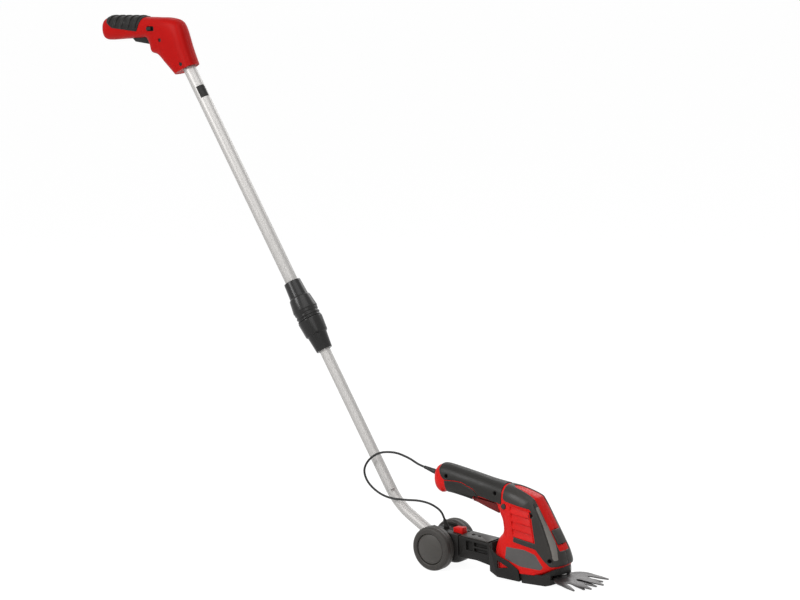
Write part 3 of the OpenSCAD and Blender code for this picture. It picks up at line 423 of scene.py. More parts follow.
STEPS = 8
COLUMNS = 56
ROUND_STEPS = 80
QUARTER = (1 - np.cos(np.linspace(0, math.pi, ROUND_STEPS + 1))) * math.pi / 4
ROUND = np.concatenate([QUARTER, QUARTER[1:] + math.pi / 2])
END_SHARES = (0.05, 0.35, 0.65, 0.88)
RIM_SHARES = (0.05, 0.2, 0.45, 1.0)
TINY = 1e-9
LEVEL_GAP = 1e-5
SEAM_GAP = 1e-4


def bulge(v, n):
    return np.sign(v) * np.abs(v) ** (2.0 / n)


def loft_rows(shares, origin, length, height, width):
    """Sections in millimetres: rear edge, front edge, half width and squareness."""
    return np.array([[origin[0] + length * rear[0], origin[1] + height * rear[1], origin[0] + length * front[0],
                      origin[1] + height * front[1], width / 2 * half, square]
                     for rear, front, half, square in shares])


def section(rows, s):
    k = min(int(s), len(rows) - 2)
    return spline(*(rows[max(0, min(len(rows) - 1, k + e))] for e in (-1, 0, 1, 2)), s - k)


def half_ring(row):
    """Points evenly round one half of a section, from its rear edge to its front edge."""
    along, across = bulge(-np.cos(ROUND), row[5]), row[4] * bulge(np.sin(ROUND), row[5])
    mid, chord = (row[0:2] + row[2:4]) / 2, (row[2:4] - row[0:2]) / 2
    pts = np.stack([mid[0] + chord[0] * along, across, mid[1] + chord[1] * along], 1)
    run = np.concatenate([[0.0], np.cumsum(np.linalg.norm(np.diff(pts, axis=0), axis=1))])
    at = np.linspace(0, run[-1], COLUMNS + 1)
    return np.stack([np.interp(at, run, pts[:, e]) for e in range(3)], 1)


def loft(rows, s0, s1, capped=False):
    """Far half of the moulding between two sections; capped closes its first end."""
    grid = np.array([half_ring(section(rows, s))
                     for s in np.linspace(s0, s1, int(round((s1 - s0) * STEPS)) + 1)])
    if capped:
        middle = grid[0].mean(axis=0) * (1, 0, 1)
        grid = np.concatenate([[middle + (grid[0] - middle) * k for k in END_SHARES], grid])
    normal = np.cross(np.gradient(grid, axis=1), np.gradient(grid, axis=0))
    normal[:, (0, -1), 1] = 0.0
    normal /= np.maximum(np.linalg.norm(normal, axis=2, keepdims=True), TINY)
    m = COLUMNS + 1
    polys = [[i * m + j, i * m + j + 1, (i + 1) * m + j + 1, (i + 1) * m + j]
             for i in range(len(grid) - 1) for j in range(COLUMNS)]
    return Sheet(grid.reshape(-1, 3), normal.reshape(-1, 3), polys)


def cut(sheet, field, level=0.0, side=0):
    """Splits polygons where a field crosses a level; side 1 or -1 keeps what lies above or below."""
    value = field(sheet.co) - level
    value = np.where(np.abs(value) < LEVEL_GAP, LEVEL_GAP, value).tolist()
    co, no, made, polys = [], [], {}, []

    def between(a, b):
        a, b = min(a, b), max(a, b)
        if (a, b) not in made:
            t = value[a] / (value[a] - value[b])
            made[a, b] = len(sheet.co) + len(co)
            co.append(sheet.co[a] + (sheet.co[b] - sheet.co[a]) * t)
            n = sheet.no[a] + (sheet.no[b] - sheet.no[a]) * t
            no.append(n / np.linalg.norm(n))
        return made[a, b]

    for poly in sheet.polys:
        above = [value[i] > 0 for i in poly]
        if all(above):
            polys += [poly] if side >= 0 else []
        elif not any(above):
            polys += [poly] if side <= 0 else []
        else:
            parts = ([], [])
            for a, b in zip(poly, poly[1:] + poly[:1]):
                parts[value[a] > 0].append(a)
                if (value[a] > 0) != (value[b] > 0):
                    parts[0].append(between(a, b))
                    parts[1].append(between(a, b))
            polys += [p for p, s in zip(parts, (-1, 1)) if side in (0, s) and len(p) > 2]
    if not co:
        return Sheet(sheet.co, sheet.no, polys)
    return Sheet(np.concatenate([sheet.co, co]), np.concatenate([sheet.no, no]), polys)


def trimmed(sheet, radius, *fields):
    """Keeps the inside of each field, with the lines that its rounded rim needs."""
    for field in fields:
        sheet = cut(sheet, field, 0.0, 1)
    for field in fields:
        for share in RIM_SHARES:
            sheet = cut(sheet, field, radius * share)
    return sheet


def rounded(field, radius, top, foot):
    """Lift that climbs in a quarter round from foot at the rim to top."""
    def lift(co):
        x = np.clip(field(co) / radius, 0.0, 1.0)
        return foot + (top - foot) * np.sqrt(np.clip(1 - (1 - x) ** 2, 0.0, 1.0))
    return lift


def solid(sheet, lift, under, side, open_seam=False):
    """Closed body between a lifted sheet and its back; side -1 mirrors it to the near half, and open_seam
    leaves the middle plane open."""
    used = sorted({i for poly in sheet.polys for i in poly})
    place = {i: k for k, i in enumerate(used)}
    co, no = sheet.co[used], sheet.no[used]
    polys = [[place[i] for i in poly] for poly in sheet.polys]
    n = len(co)
    points = np.concatenate([co + no * lift(co)[:, None], co + no * under])
    edges = {(a, b) for poly in polys for a, b in zip(poly, poly[1:] + poly[:1])}
    open_edges = [(a, b) for a, b in sorted(edges) if (b, a) not in edges
                  and not (open_seam and abs(co[a][1]) < SEAM_GAP and abs(co[b][1]) < SEAM_GAP)]
    faces = polys + [[i + n for i in reversed(poly)] for poly in polys]
    faces += [[b, a, a + n, b + n] for a, b in open_edges]
    if side < 0:
        points, faces = points * (1, -1, 1), [list(reversed(f)) for f in faces]
    return points, faces


def moulded(sheet, field, radius, top, foot, under, side):
    """Body of what lies inside a field, with a rounded rim."""
    return solid(trimmed(sheet, radius, field), rounded(field, radius, top, foot), under, side)


def joined(*bodies):
    points, faces = [], []
    for p, f in bodies:
        faces += [[i + len(points) for i in face] for face in f]
        points += list(p)
    return points, faces


# Fields over the side view, in millimetres: positive inside
def segment_distance(p, a, b):
    d = b - a
    t = np.clip(((p - a) @ d) / (d @ d), 0, 1)
    return np.linalg.norm(p - a - t[:, None] * d, axis=1)


def ring_distance(p, ring):
    sides = list(zip(ring, np.roll(ring, -1, 0)))
    best, odd = np.minimum.reduce([segment_distance(p, a, b) for a, b in sides]), np.zeros(len(p), bool)
    for a, b in sides:
        d = b - a
        x = a[0] + (p[:, 1] - a[1]) * d[0] / (d[1] if d[1] else TINY)
        odd ^= ((a[1] > p[:, 1]) != (b[1] > p[:, 1])) & (p[:, 0] < x)
    return np.where(odd, best, -best)


def inside(outline):
    ring = np.array(outline, float)
    return lambda co: ring_distance(co[:, (0, 2)], ring)


def disc(centre, radius):
    return lambda co: radius - np.hypot(co[:, 0] - centre[0], co[:, 2] - centre[1])


def line_distance(points):
    line = np.array(points, float)
    return lambda co: np.minimum.reduce([segment_distance(co[:, (0, 2)], a, b) for a, b in zip(line, line[1:])])


def both(*fields):
    return lambda co: np.minimum.reduce([f(co) for f in fields])


def outside(*fields):
    return lambda co: -np.maximum.reduce([f(co) for f in fields])


def off_middle(slope, start=0.0):
    """Distance from the middle plane; a steeper slope narrows the rim there."""
    return lambda co: (co[:, 1] - start) * slope


def block(at, x0, x1, half):
    """Corners of a rectangle round a place."""
    return [(at[0] + x0, at[1] - half), (at[0] + x1, at[1] - half), (at[0] + x1, at[1] + half),
            (at[0] + x0, at[1] + half)]


def extruded(outline, y0, y1):
    """Side outline spread along Y."""
    n = len(outline)
    points = [(x, y, z) for y in (y0, y1) for x, z in outline]
    faces = [list(range(n)), list(range(2 * n - 1, n - 1, -1))]
    faces += [[k, k + n, (k + 1) % n + n, (k + 1) % n] for k in range(n)]
    return points, faces


def pair(outline, near_and_far):
    """A plate on each side of the middle plane."""
    return joined(*(extruded(outline, *sorted(side * y for y in near_and_far)) for side in (-1, 1)))


# Shears
SHEARS_LEN = 290.0
SHEARS_H = 190.0
BODY_W = 67.0
SHEARS_O = (-227.07, 0.0)
WALL = 2.4
CLAD = 1.6
SHEARS_SHARES = [
    ((0.009, 0.87), (0.019, 0.93), 0.18, 2.2), ((0.022, 0.775), (0.032, 0.962), 0.38, 2.2),
    ((0.042, 0.738), (0.052, 0.986), 0.50, 2.3), ((0.07, 0.722), (0.083, 0.997), 0.55, 2.4),
    ((0.11, 0.738), (0.125, 0.993), 0.55, 2.4), ((0.2, 0.722), (0.22, 0.968), 0.55, 2.4),
    ((0.31, 0.69), (0.335, 0.935), 0.56, 2.4), ((0.41, 0.648), (0.445, 0.902), 0.58, 2.5),
    ((0.507, 0.605), (0.557, 0.876), 0.66, 2.6), ((0.524, 0.574), (0.652, 0.852), 0.76, 2.7),
    ((0.533, 0.532), (0.762, 0.799), 0.82, 2.8), ((0.5365, 0.4895), (0.797, 0.75), 0.85, 2.8),
    ((0.5365, 0.4526), (0.866, 0.563), 0.88, 2.9), ((0.5278, 0.4184), (0.93, 0.382), 0.92, 3.0),
    ((0.4986, 0.363), (0.961, 0.274), 0.97, 3.2), ((0.4796, 0.2526), (0.96, 0.174), 1.0, 3.6),
    ((0.4865, 0.09), (0.852, 0.09), 1.0, 4.0)]
# Sections under the grip pads, palm pads, covers, vents and label
SPANS = ((2, 9), (3, 7), (7.5, 15.5), (8, 15), (13, 16))
COVER_SHARES = [(0.567, 1.03), (0.567, 0.762), (0.589, 0.739), (0.769, 0.69), (0.808, 0.386), (0.651, 0.425),
                (0.649, 0.377), (0.812, 0.332), (0.867, 0.24), (0.91, 0.182), (1.05, 0.19), (1.05, 1.03)]
VENT_SHARES = [(0.617, 0.714), (0.763, 0.68), (0.8, 0.392), (0.64, 0.43)]
PAD_LINE_SHARES = [(0.114, 0.86), (0.19, 0.863), (0.248, 0.858), (0.295, 0.828), (0.336, 0.806), (0.37, 0.747),
                   (0.46, 0.721), (0.53, 0.704), (0.553, 0.7)]
PAD_REAR_SHARES = [(0.553, 1.05), (0.08, 1.05), (0.072, 0.95), (0.09, 0.895)]
PALM_TOP = 5
PALM_FRONT_SHARES = [(0.115, 0.8), (0.11, 0.6), (0.296, 0.6), (0.3, 0.7), (0.332, 0.744), (0.36, 0.742)]
PAD_LINE_HALF = CLAD / 3
SPINE_SHARES = [(0.6, 0.0), (0.63, 0.6), (0.77, 1.0), (1.1, 1.0), (1.1, -1.0), (0.77, -1.0), (0.63, -0.6)]
SPINE_HALF = 13.4
SPINE_END = 0.32 * SHEARS_H
SLIT_SHARES = [(0.781, 0.734), (0.842, 0.555), (0.89, 0.391), (0.912, 0.307), (0.925, 0.222)]
FACET_SHARES = [(0.66, 1.1)] + SLIT_SHARES + [(0.945, 0.1), (0.96, -0.1), (1.3, -0.1), (1.3, 1.1)]
GAP_SHARES = [(0.306, 0.6), (0.306, 0.7), (0.338, 0.748), (0.5, 0.712), (0.522, 0.7), (0.522, 0.58),
              (0.47, 0.5)]
LABEL_SHARES = [(0.598, 0.324), (0.73, 0.318), (0.812, 0.283), (0.862, 0.175), (0.846, 0.145), (0.699, 0.157),
                (0.587, 0.211)]
SCREW_SHARES = [(0.132, 0.9, 0.53), (0.503, 0.797, 0.6), (0.774, 0.637, 0.72), (0.907, 0.238, 0.8)]
LOCK_SHARE = (0.575, 0.69)
LOCK_D = 9.6
LOCK_HALF = 27.47
LOCK_PLAY = 0.3
HEAD_HOLE = 3.7
SHELL_PLAY = 0.8
HEAD_T = 2.5
FRONT_SHARE = (0.9096, 0.4384)
FRONT_LEAN = math.radians(28.2)
FRONT_HALF = (11.9, 13.9)
FRONT_DEEP = 15.0
SHELL_SLOPE = 1.5
PAD_SLOPE = 3.0
COVER_ROUND = 1.2
CLAD_FOOT = -0.2
CLAD_BACK = -0.3
# Round, top and foot of a rim
SHELL_RIM = (0.6, 0.0, -0.4)
PAD_RIM = (1.3, CLAD, CLAD_FOOT)
LABEL_RIM = (0.2, 0.15, -0.1)
HANDLE_RIM = (0.8, 0.0, -0.5)


def on_shears(p):
    return (SHEARS_O[0] + SHEARS_LEN * p[0], SHEARS_O[1] + SHEARS_H * p[1])


def shears_outline(shares, drop=0.0):
    return [(on_shears(p)[0], on_shears(p)[1] + drop) for p in shares]


FRONT_AT = on_shears(FRONT_SHARE)
SHEARS_ROWS = loft_rows(SHEARS_SHARES, SHEARS_O, SHEARS_LEN, SHEARS_H, BODY_W)
SPINE_RING = np.array([(SHEARS_O[0] + SHEARS_LEN * x, SPINE_HALF * y) for x, y in SPINE_SHARES])


def front_pocket(co):
    """Inside of the pocket of the front button."""
    dx, dz = co[:, 0] - FRONT_AT[0], co[:, 2] - FRONT_AT[1]
    ahead = dx * math.cos(FRONT_LEAN) + dz * math.sin(FRONT_LEAN)
    rise = dz * math.cos(FRONT_LEAN) - dx * math.sin(FRONT_LEAN)
    return np.minimum.reduce([FRONT_HALF[0] - np.abs(co[:, 1]), FRONT_HALF[1] - np.abs(rise),
                              ahead + FRONT_DEEP])


def spine(co):
    """Inside of the red spine between the covers."""
    return np.minimum(ring_distance(co[:, :2], SPINE_RING), co[:, 2] - SPINE_END)


VENT = inside(shears_outline(VENT_SHARES))
SCREWS = [disc(on_shears(p), HEAD_HOLE) for p in SCREW_SHARES]
SHELL_HOLES = [disc(on_shears(p), HEAD_HOLE + SHELL_PLAY) for p in SCREW_SHARES]
GRIP_FIELD = both(inside(shears_outline(PAD_LINE_SHARES + PAD_REAR_SHARES, PAD_LINE_HALF)),
                  off_middle(PAD_SLOPE))
PALM_FIELD = both(inside(shears_outline(PAD_LINE_SHARES[PALM_TOP::-1] + PALM_FRONT_SHARES, -PAD_LINE_HALF)),
                  off_middle(1.0, WALL))
COVER_FIELD = both(inside(shears_outline(COVER_SHARES)), outside(spine), off_middle(PAD_SLOPE))
HOUSE_FIELD = both(outside(inside(shears_outline(GAP_SHARES)), VENT, front_pocket,
                           disc(on_shears(LOCK_SHARE), LOCK_D / 2 + LOCK_PLAY)), off_middle(SHELL_SLOPE))
LABEL_FIELD = inside(shears_outline(LABEL_SHARES))
SLIT = line_distance(shears_outline(SLIT_SHARES))
SLIT_HALF = 0.5
SLIT_SIDE = 0.5
SLIT_DEEP = 1.2
FACET = inside(shears_outline(FACET_SHARES))
FACET_FALL = 0.09
FACET_W = 11.0
FACET_IN = 0.9
FACET_OUT = 8.0
FACET_SKIN = 0.12
FACET_ROUND = 0.4
FACET_TOP = 141.0
FACET_FOOT = 46.0
FACET_EASE = 12.0


def cover_lift(field, skin=0.0):
    """Lift of a side cover with its slit and facet; skin lies just over that."""
    base = rounded(field, COVER_ROUND, CLAD, CLAD_FOOT)

    def lift(co):
        slit = SLIT_DEEP * np.clip(1 - (SLIT(co) - SLIT_HALF) / SLIT_SIDE, 0.0, 1.0)
        ease = np.clip((FACET_TOP - co[:, 2]) / FACET_EASE, 0.0, 1.0)
        return base(co) - slit - FACET_FALL * np.clip(FACET(co), 0.0, FACET_W) * ease + skin
    return lift


VENT_CORNERS = [np.array(on_shears(p)) for p in VENT_SHARES]


def vent_side(i):
    """Distance inside one side of the vent."""
    a, b, c = VENT_CORNERS[i], VENT_CORNERS[(i + 1) % 4], VENT_CORNERS[(i + 2) % 4]
    n = np.array([a[1] - b[1], b[0] - a[0]]) / np.linalg.norm(b - a)
    n *= np.sign((c - a) @ n)
    return lambda co: (co[:, (0, 2)] - a) @ n


VENT_SIDES = [vent_side(i) for i in range(4)]
VENT_TOP, VENT_RIGHT, VENT_FOOT, VENT_LEFT = VENT_SIDES
VENT_MARGIN = 3.0
VENT_LAP = 1.0
VENT_FLOOR = (-4.2, -5.0)
VENT_H = 54.0
SLATS = 4
SLAT_START = 0.1
SLAT_SHARE = 0.93
SLAT_IN = 1.5
SLAT_LOW = -2.2
SLAT_HIGH = 0.9
SLAT_ROUND = 0.6
SLAT_FOOT = -0.5
SLAT_BACK = 1.5
FRAME_IN = 0.15
FRAME_OUT = 2.1
FRAME_ROUND = 0.5
FRAME_RISE = 0.6


def vent_height(co):
    """Share of the way down the vent."""
    return VENT_TOP(co) / (VENT_TOP(co) + VENT_FOOT(co))


def frame_bar(patch, i, side):
    """One mitred bar of the frame round the vent."""
    here, before, after = VENT_SIDES[i], VENT_SIDES[i - 1], VENT_SIDES[(i + 1) % 4]
    bar = cut(cut(patch, lambda co: before(co) - here(co), 0.0, 1), lambda co: after(co) - here(co), 0.0, 1)
    sides = (lambda co: here(co) - FRAME_IN, lambda co: FRAME_OUT - here(co))
    lift = rounded(both(*sides), FRAME_ROUND, FRAME_RISE, CLAD_FOOT)
    return solid(trimmed(bar, FRAME_ROUND, *sides), lift, -WALL, side)


def slat(patch, i, side):
    """One louver, which stands further out towards its bottom edge."""
    lo, hi = (i + SLAT_START) / SLATS, (i + SLAT_START + SLAT_SHARE) / SLATS
    sides = (lambda co: VENT_LEFT(co) - SLAT_IN, lambda co: VENT_RIGHT(co) - SLAT_IN,
             lambda co: (vent_height(co) - lo) * VENT_H, lambda co: (hi - vent_height(co)) * VENT_H)
    edge = rounded(both(*sides), SLAT_ROUND, 0.0, SLAT_FOOT)

    def lift(co):
        lean = np.clip((vent_height(co) - lo) / (hi - lo), 0.0, 1.0)
        return edge(co) + SLAT_LOW + (SLAT_HIGH - SLAT_LOW) * lean
    return solid(trimmed(patch, SLAT_ROUND, *sides), lift, -WALL - SLAT_BACK, side)


def add_shears():
    whole = loft(SHEARS_ROWS, 0, len(SHEARS_ROWS) - 1, capped=True)
    grip, palm, cover, vent, patch = (loft(SHEARS_ROWS, *span) for span in SPANS)
    vent_patch, vent_back = cut(vent, VENT, -VENT_MARGIN, 1), cut(vent, VENT, -VENT_LAP, 1)
    for side, word in HALVES:
        house, pad, case = HOUSE_FIELD, GRIP_FIELD, COVER_FIELD
        if side < 0:
            house = both(house, outside(*SHELL_HOLES))
            pad, case = both(pad, outside(*SCREWS)), both(case, outside(*SCREWS))
        case_sheet = trimmed(cover, COVER_ROUND, case)
        for level in (SLIT_HALF, SLIT_HALF + SLIT_SIDE):
            case_sheet = cut(case_sheet, SLIT, level)
        bodies = {"housing": (moulded(whole, house, *SHELL_RIM, -WALL, side), RED),
                  "grip_pad": (moulded(grip, pad, *PAD_RIM, CLAD_BACK, side), RUBBER),
                  "palm_pad": (moulded(palm, PALM_FIELD, *PAD_RIM, CLAD_BACK, side), RUBBER),
                  "side_cover": (solid(case_sheet, cover_lift(case), CLAD_BACK, side), DARK)}
        for name, (body, material) in bodies.items():
            node = name + "_" + word
            add_body(node + "_skin", body, material, node, (node,))
        node = "vent_" + word
        bars = [frame_bar(vent_patch, i, side) for i in range(4)]
        slats = [slat(vent_patch, i, side) for i in range(SLATS)]
        add_body(node + "_louvers", joined(*bars, *slats), RED, node, (node,))
        # Dark red floor behind the slats: painted shade in the vent.
        floor = solid(vent_back, lambda co: np.full(len(co), VENT_FLOOR[0]), VENT_FLOOR[1], side)
        add_body(node + "_well", floor, VENT_SHADE, node)
        # Strip of lighter grey over the facet ahead of the slit: a painted highlight.
        highlight_band = both(case, lambda co: FACET(co) - FACET_IN, lambda co: FACET_OUT - FACET(co),
                    lambda co: FACET_TOP - FACET_EASE / 2 - co[:, 2], lambda co: co[:, 2] - FACET_FOOT)
        highlight_strip = solid(trimmed(cover, FACET_ROUND, highlight_band), cover_lift(case, FACET_SKIN), 0.0, side)
        add_body("cover_facet_highlight_" + word, highlight_strip, FACET_HIGHLIGHT, "side_cover_" + word)
    label = moulded(patch, LABEL_FIELD, *LABEL_RIM, CLAD_BACK, -1)
    add_body("plain_label", label, LABEL, "housing_right")


add_shears()

# Wheels
AXLE = (-214.0, 0.0, 40.0)
AXLE_R = 4.07
WHEEL_IN = 21.2
WHEEL_SOFT = 0.5
WHEEL_SIDES = 128
WHEEL_PROFILE = [(AXLE_R, 0.0), (12.0, 0.0), (13.0, 3.0), (30.0, 3.0), (32.0, 0.4), (36.2, 0.0), (38.6, 1.2),
                 (40.0, 3.8), (40.0, 10.6), (39.4, 11.0), (39.4, 12.0), (40.0, 12.4), (40.0, 17.0),
                 (39.2, 20.0), (37.2, 22.2), (34.4, 23.0), (30.2, 23.0), (28.9, 22.4), (28.1, 21.2),
                 (28.05, 18.5), (9.0, 18.5), (9.0, 12.0), (AXLE_R, 12.0)]
CAP_PROFILE = [(0.0, 18.6), (27.9, 18.6), (27.9, 19.6), (26.5, 21.2), (25.2, 21.7), (21.0, 22.9), (16.0, 23.9),
               (11.0, 24.5), (5.5, 24.9), (0.0, 25.0)]


def add_wheels():
    for side, word in HALVES:
        origin = (AXLE[0], side * WHEEL_IN, AXLE[2])
        for node, material, profile in (("wheel_" + word, WHEEL, WHEEL_PROFILE),
                                        ("wheel_cap_" + word, CAP, CAP_PROFILE)):
            add_turned(node + "_turned", node, material, profile, origin, (0, side, 0), WHEEL_SOFT, WHEEL_SIDES)


add_wheels()

# Pole with its clamp
POLE_DIR = np.array([-math.cos(POLE_RISE), 0.0, math.sin(POLE_RISE)])
STUB_LEN = 119.0
BEND = np.array([AXLE[0] - STUB_LEN * math.cos(STUB_RISE), 0.0, AXLE[2] + STUB_LEN * math.sin(STUB_RISE)])
POLE_LEN = 906.0
UPPER_R = 12.0
LOWER_R = 10.0
TUBE_T = 1.0
TUBE_SOFT = 0.3
TUBE_SIDES = 96
CLAMP_AT = 314.0
CLAMP_LEN = 144.0
CLAMP_R = 23.8
CLAMP_SIDES = 144
CLAMP_SHARES = [(0.955, 0.44), (0.955, 0.452), (0.9, 0.458), (0.9, 0.474), (0.955, 0.48), (0.955, 0.498),
                (0.9, 0.504), (0.9, 0.522), (0.955, 0.53), (0.955, 0.562), (1.0, 0.572), (0.855, 0.74),
                (0.82, 0.748), (0.755, 0.757), (0.67, 0.972)]
CLAMP_SOFT = 0.5
SLEEVE_PLAY = 0.1
GUIDE_PLAY = 0.3
STOP_TOP = 76.2
STOP_FOOT = 70.6
COLLET_BORE = 15.0
FLUTES = 18
SLEEVE_FLUTES = (0.77 * CLAMP_LEN, 0.96 * CLAMP_LEN, FLUTES, 0.6, UPPER_R + 1.5)
NUT_LEN = 0.434 * CLAMP_LEN
NUT_SHARES = [(0.64, 0.0), (0.78, 0.495), (0.835, 0.505), (0.9, 0.54), (0.995, 0.98), (0.97, 1.0)]
NUT_SOFT = 0.7
NUT_PLAY = 0.4
NUT_BORE = [(15.4, NUT_LEN), (15.4, 33.4), (12.1, 14.0), (LOWER_R + NUT_PLAY, 14.0), (LOWER_R + NUT_PLAY, 0.0)]
NUT_FLUTES = (0.05 * NUT_LEN, 0.46 * NUT_LEN, FLUTES, 0.45, LOWER_R + 3.0)
UPPER_FOOT = CLAMP_AT + 0.53 * CLAMP_LEN
UPPER_TOP = 956.0


def pole_point(q):
    return tuple(BEND + POLE_DIR * q)


def add_pole():
    origin = pole_point(CLAMP_AT)
    body = [(CLAMP_R * r, CLAMP_LEN * h) for r, h in CLAMP_SHARES]
    foot, top = body[0][1], body[-1][1]
    body += [(UPPER_R + SLEEVE_PLAY, top), (UPPER_R + SLEEVE_PLAY, STOP_TOP), (LOWER_R + GUIDE_PLAY, STOP_TOP),
             (LOWER_R + GUIDE_PLAY, STOP_FOOT), (COLLET_BORE, STOP_FOOT), (COLLET_BORE, foot)]
    add_turned("clamp_body_turned", "clamp_body", GLOSS_BLACK, body, origin, POLE_DIR, CLAMP_SOFT, CLAMP_SIDES,
               SLEEVE_FLUTES)
    nut = [(CLAMP_R * r, NUT_LEN * h) for r, h in NUT_SHARES] + NUT_BORE
    add_turned("lock_nut_turned", "lock_nut", GLOSS_BLACK, nut, origin, POLE_DIR, NUT_SOFT, CLAMP_SIDES,
               NUT_FLUTES)
    tube = [(UPPER_R - TUBE_T, UPPER_FOOT), (UPPER_R, UPPER_FOOT), (UPPER_R, UPPER_TOP),
            (UPPER_R - TUBE_T, UPPER_TOP)]
    add_turned("upper_tube_turned", "upper_tube", ALLOY, tube, tuple(BEND), POLE_DIR, TUBE_SOFT, TUBE_SIDES)
    eased("lower_tube", 0.0, ALLOY, TUBE_SHARP)


add_pole()

STICKER_Q = (840.5, 864.0)
STICKER_ANGLES = (math.radians(-22.0), math.radians(64.0))
STICKER_STEPS = 10
STICKER_R = (UPPER_R + 0.15, UPPER_R - 0.2)


def add_sticker():
    """Plain dark sticker on the upper tube."""
    face = np.array(EYE) / MM - np.array(pole_point(STICKER_Q[0]))
    face -= POLE_DIR * (face @ POLE_DIR)
    face /= np.linalg.norm(face)
    right = np.cross(POLE_DIR, face)
    right *= np.sign(right @ np.array(EYE_RIGHT))
    points, faces = [], []
    for radius in STICKER_R:
        for q in STICKER_Q:
            for t in np.linspace(*STICKER_ANGLES, STICKER_STEPS + 1):
                points.append(np.array(pole_point(q)) + radius * (face * math.cos(t) + right * math.sin(t)))
    m = STICKER_STEPS + 1
    for k in range(STICKER_STEPS):
        a, b, c, d = k, k + m, k + 2 * m, k + 3 * m
        faces += [[a, a + 1, b + 1, b], [c, d, d + 1, c + 1], [a, c, c + 1, a + 1], [b, b + 1, d + 1, d]]
    faces += [[0, m, 3 * m, 2 * m], [m - 1, 3 * m - 1, 4 * m - 1, 2 * m - 1]]
    add_body("plain_sticker", (points, faces), BLACK, "upper_tube", weld=WELD)


add_sticker()

# Small parts of the shears
LOCK_AT = on_shears(LOCK_SHARE)
LOCK_PROFILE = [(0.0, -LOCK_HALF), (LOCK_D / 2, -LOCK_HALF), (LOCK_D / 2, LOCK_HALF), (0.0, LOCK_HALF)]
LOCK_SOFT = 1.2
add_turned("lock_button_turned", "lock_button", DARK, LOCK_PROFILE, (LOCK_AT[0], 0.0, LOCK_AT[1]), (0, 1, 0),
           LOCK_SOFT, SMALL_SIDES)

WELL_RADII = (HEAD_HOLE - 0.2, HEAD_HOLE + SHELL_PLAY)
WELL_RISE = 0.5
WELL_FLOOR = 0.5
WELL_SIDES = 32
WELL_ROW = 3
SKIN_COUNT = 6
SKIN_EASE = 0.05


def skin_half(skin, spots):
    """Half width of the moulding at places, from its nearest points."""
    halves = []
    for x, z in spots:
        gap = np.hypot(skin[:, 0] - x, skin[:, 2] - z)
        near = np.argsort(gap)[:SKIN_COUNT]
        weight = 1.0 / (gap[near] + SKIN_EASE)
        halves.append(float((skin[near, 1] * weight).sum() / weight.sum()))
    return halves


def well(at, skin, foot):
    """Cup in the near half whose rim follows the moulding; foot is its floor."""
    turns = [2 * math.pi * k / WELL_SIDES for k in range(WELL_SIDES)]
    inner, outer = ([(at[0] + r * math.cos(t), at[1] + r * math.sin(t)) for t in turns] for r in WELL_RADII)
    rows = [[(x, -(h + WELL_RISE), z) for (x, z), h in zip(ring, skin_half(skin, ring))]
            for ring in (inner, outer)]
    rows += [[(x, y, z) for x, z in ring] for ring, y in ((outer, foot), (inner, foot - WELL_FLOOR))]
    n = WELL_SIDES
    faces = bands(((0, 1), (1, 2), (3, 0)), n)
    faces += [list(range(2 * n, 3 * n)), list(range(4 * n - 1, 3 * n - 1, -1))]
    return [point for row in rows for point in row], faces


def add_wells():
    """Near-black cups that line the screw holes of the near half: painted shade in the holes."""
    skin = loft(SHEARS_ROWS, WELL_ROW, len(SHEARS_ROWS) - 1).co
    bodies = [well(on_shears((x, z)), skin, WALL / 2 - BODY_W / 2 * half + 2 * HEAD_T)
              for x, z, half in SCREW_SHARES]
    add_body("screw_wells", joined(*bodies), HOLE_SHADE, "housing_right", weld=WELD)


add_wells()

# Top handle
HANDLE_LEN = 230.0
HANDLE_H = 110.0
HANDLE_W = 40.0
HANDLE_SEAT_SHARE = (0.925, 0.122)
HANDLE_O = (pole_point(POLE_LEN)[0] - HANDLE_LEN * HANDLE_SEAT_SHARE[0],
            pole_point(POLE_LEN)[2] - HANDLE_H * HANDLE_SEAT_SHARE[1])
HANDLE_SHARES = [
    ((0.004, 0.76), (0.004, 0.88), 0.28, 2.2), ((0.02, 0.665), (0.03, 0.955), 0.64, 2.3),
    ((0.048, 0.613), (0.075, 0.993), 0.85, 2.5), ((0.117, 0.605), (0.15, 1.003), 0.9, 2.6),
    ((0.27, 0.62), (0.3, 0.999), 0.9, 2.6), ((0.42, 0.632), (0.475, 0.994), 0.92, 2.7),
    ((0.505, 0.634), (0.63, 0.984), 0.95, 2.9), ((0.541, 0.52), (0.76, 0.972), 1.0, 3.1),
    ((0.558, 0.395), (0.855, 0.917), 1.0, 3.3), ((0.628, 0.345), (0.898, 0.79), 1.0, 3.3),
    ((0.706, 0.2), (0.945, 0.48), 0.98, 3.2), ((0.803, 0.012), (0.998, 0.19), 0.95, 3.0)]
HANDLE_ROWS = loft_rows(HANDLE_SHARES, HANDLE_O, HANDLE_LEN, HANDLE_H, HANDLE_W)
HANDLE_GAP_SHARES = [(0.312, 0.7), (0.33, 0.5), (0.5, 0.48), (0.545, 0.52), (0.552, 0.76), (0.312, 0.76)]
HANDLE_GAP_HALF = 7.9
HANDLE_LOCK_SHARE = (0.578, 0.8)
LOCK_SLOT = (-5.9, 12.3, 4.5)
FLANGE = (-12.4, 12.8, 5.3)
FLANGE_Y = (14.4, 15.4)
HANDLE_SCREW_SHARE = (0.692, 0.604)
CROSS_Q = POLE_LEN + 0.8 * UPPER_R
BORE_PLAY = 0.15
BORE_END = 930.0
RIBBED_SPAN = (1, 6.5)
RIBBED_SHARES = [(0.06, 1.1), (0.095, 0.9), (0.155, 0.815), (0.435, 0.752), (0.52, 1.1)]
RIBBED_ROUND = 1.4
RIBBED_BACK = 0.3
RIBS = 5
RIB_SHARES = [(0.09, 0.8), (0.125, 1.1), (0.155, 1.1), (0.12, 0.8)]
RIB_PITCH = 0.078
RIB_H = 1.7
RIB_LEVELS = (0.0, 0.3, 0.9)
RIB_FADE = 2.5
RIB_EDGE = 0.4
CUP_PROFILE = [(3.6, -18.9), (4.2, -18.9), (4.2, -15.9), (3.6, -15.9)]


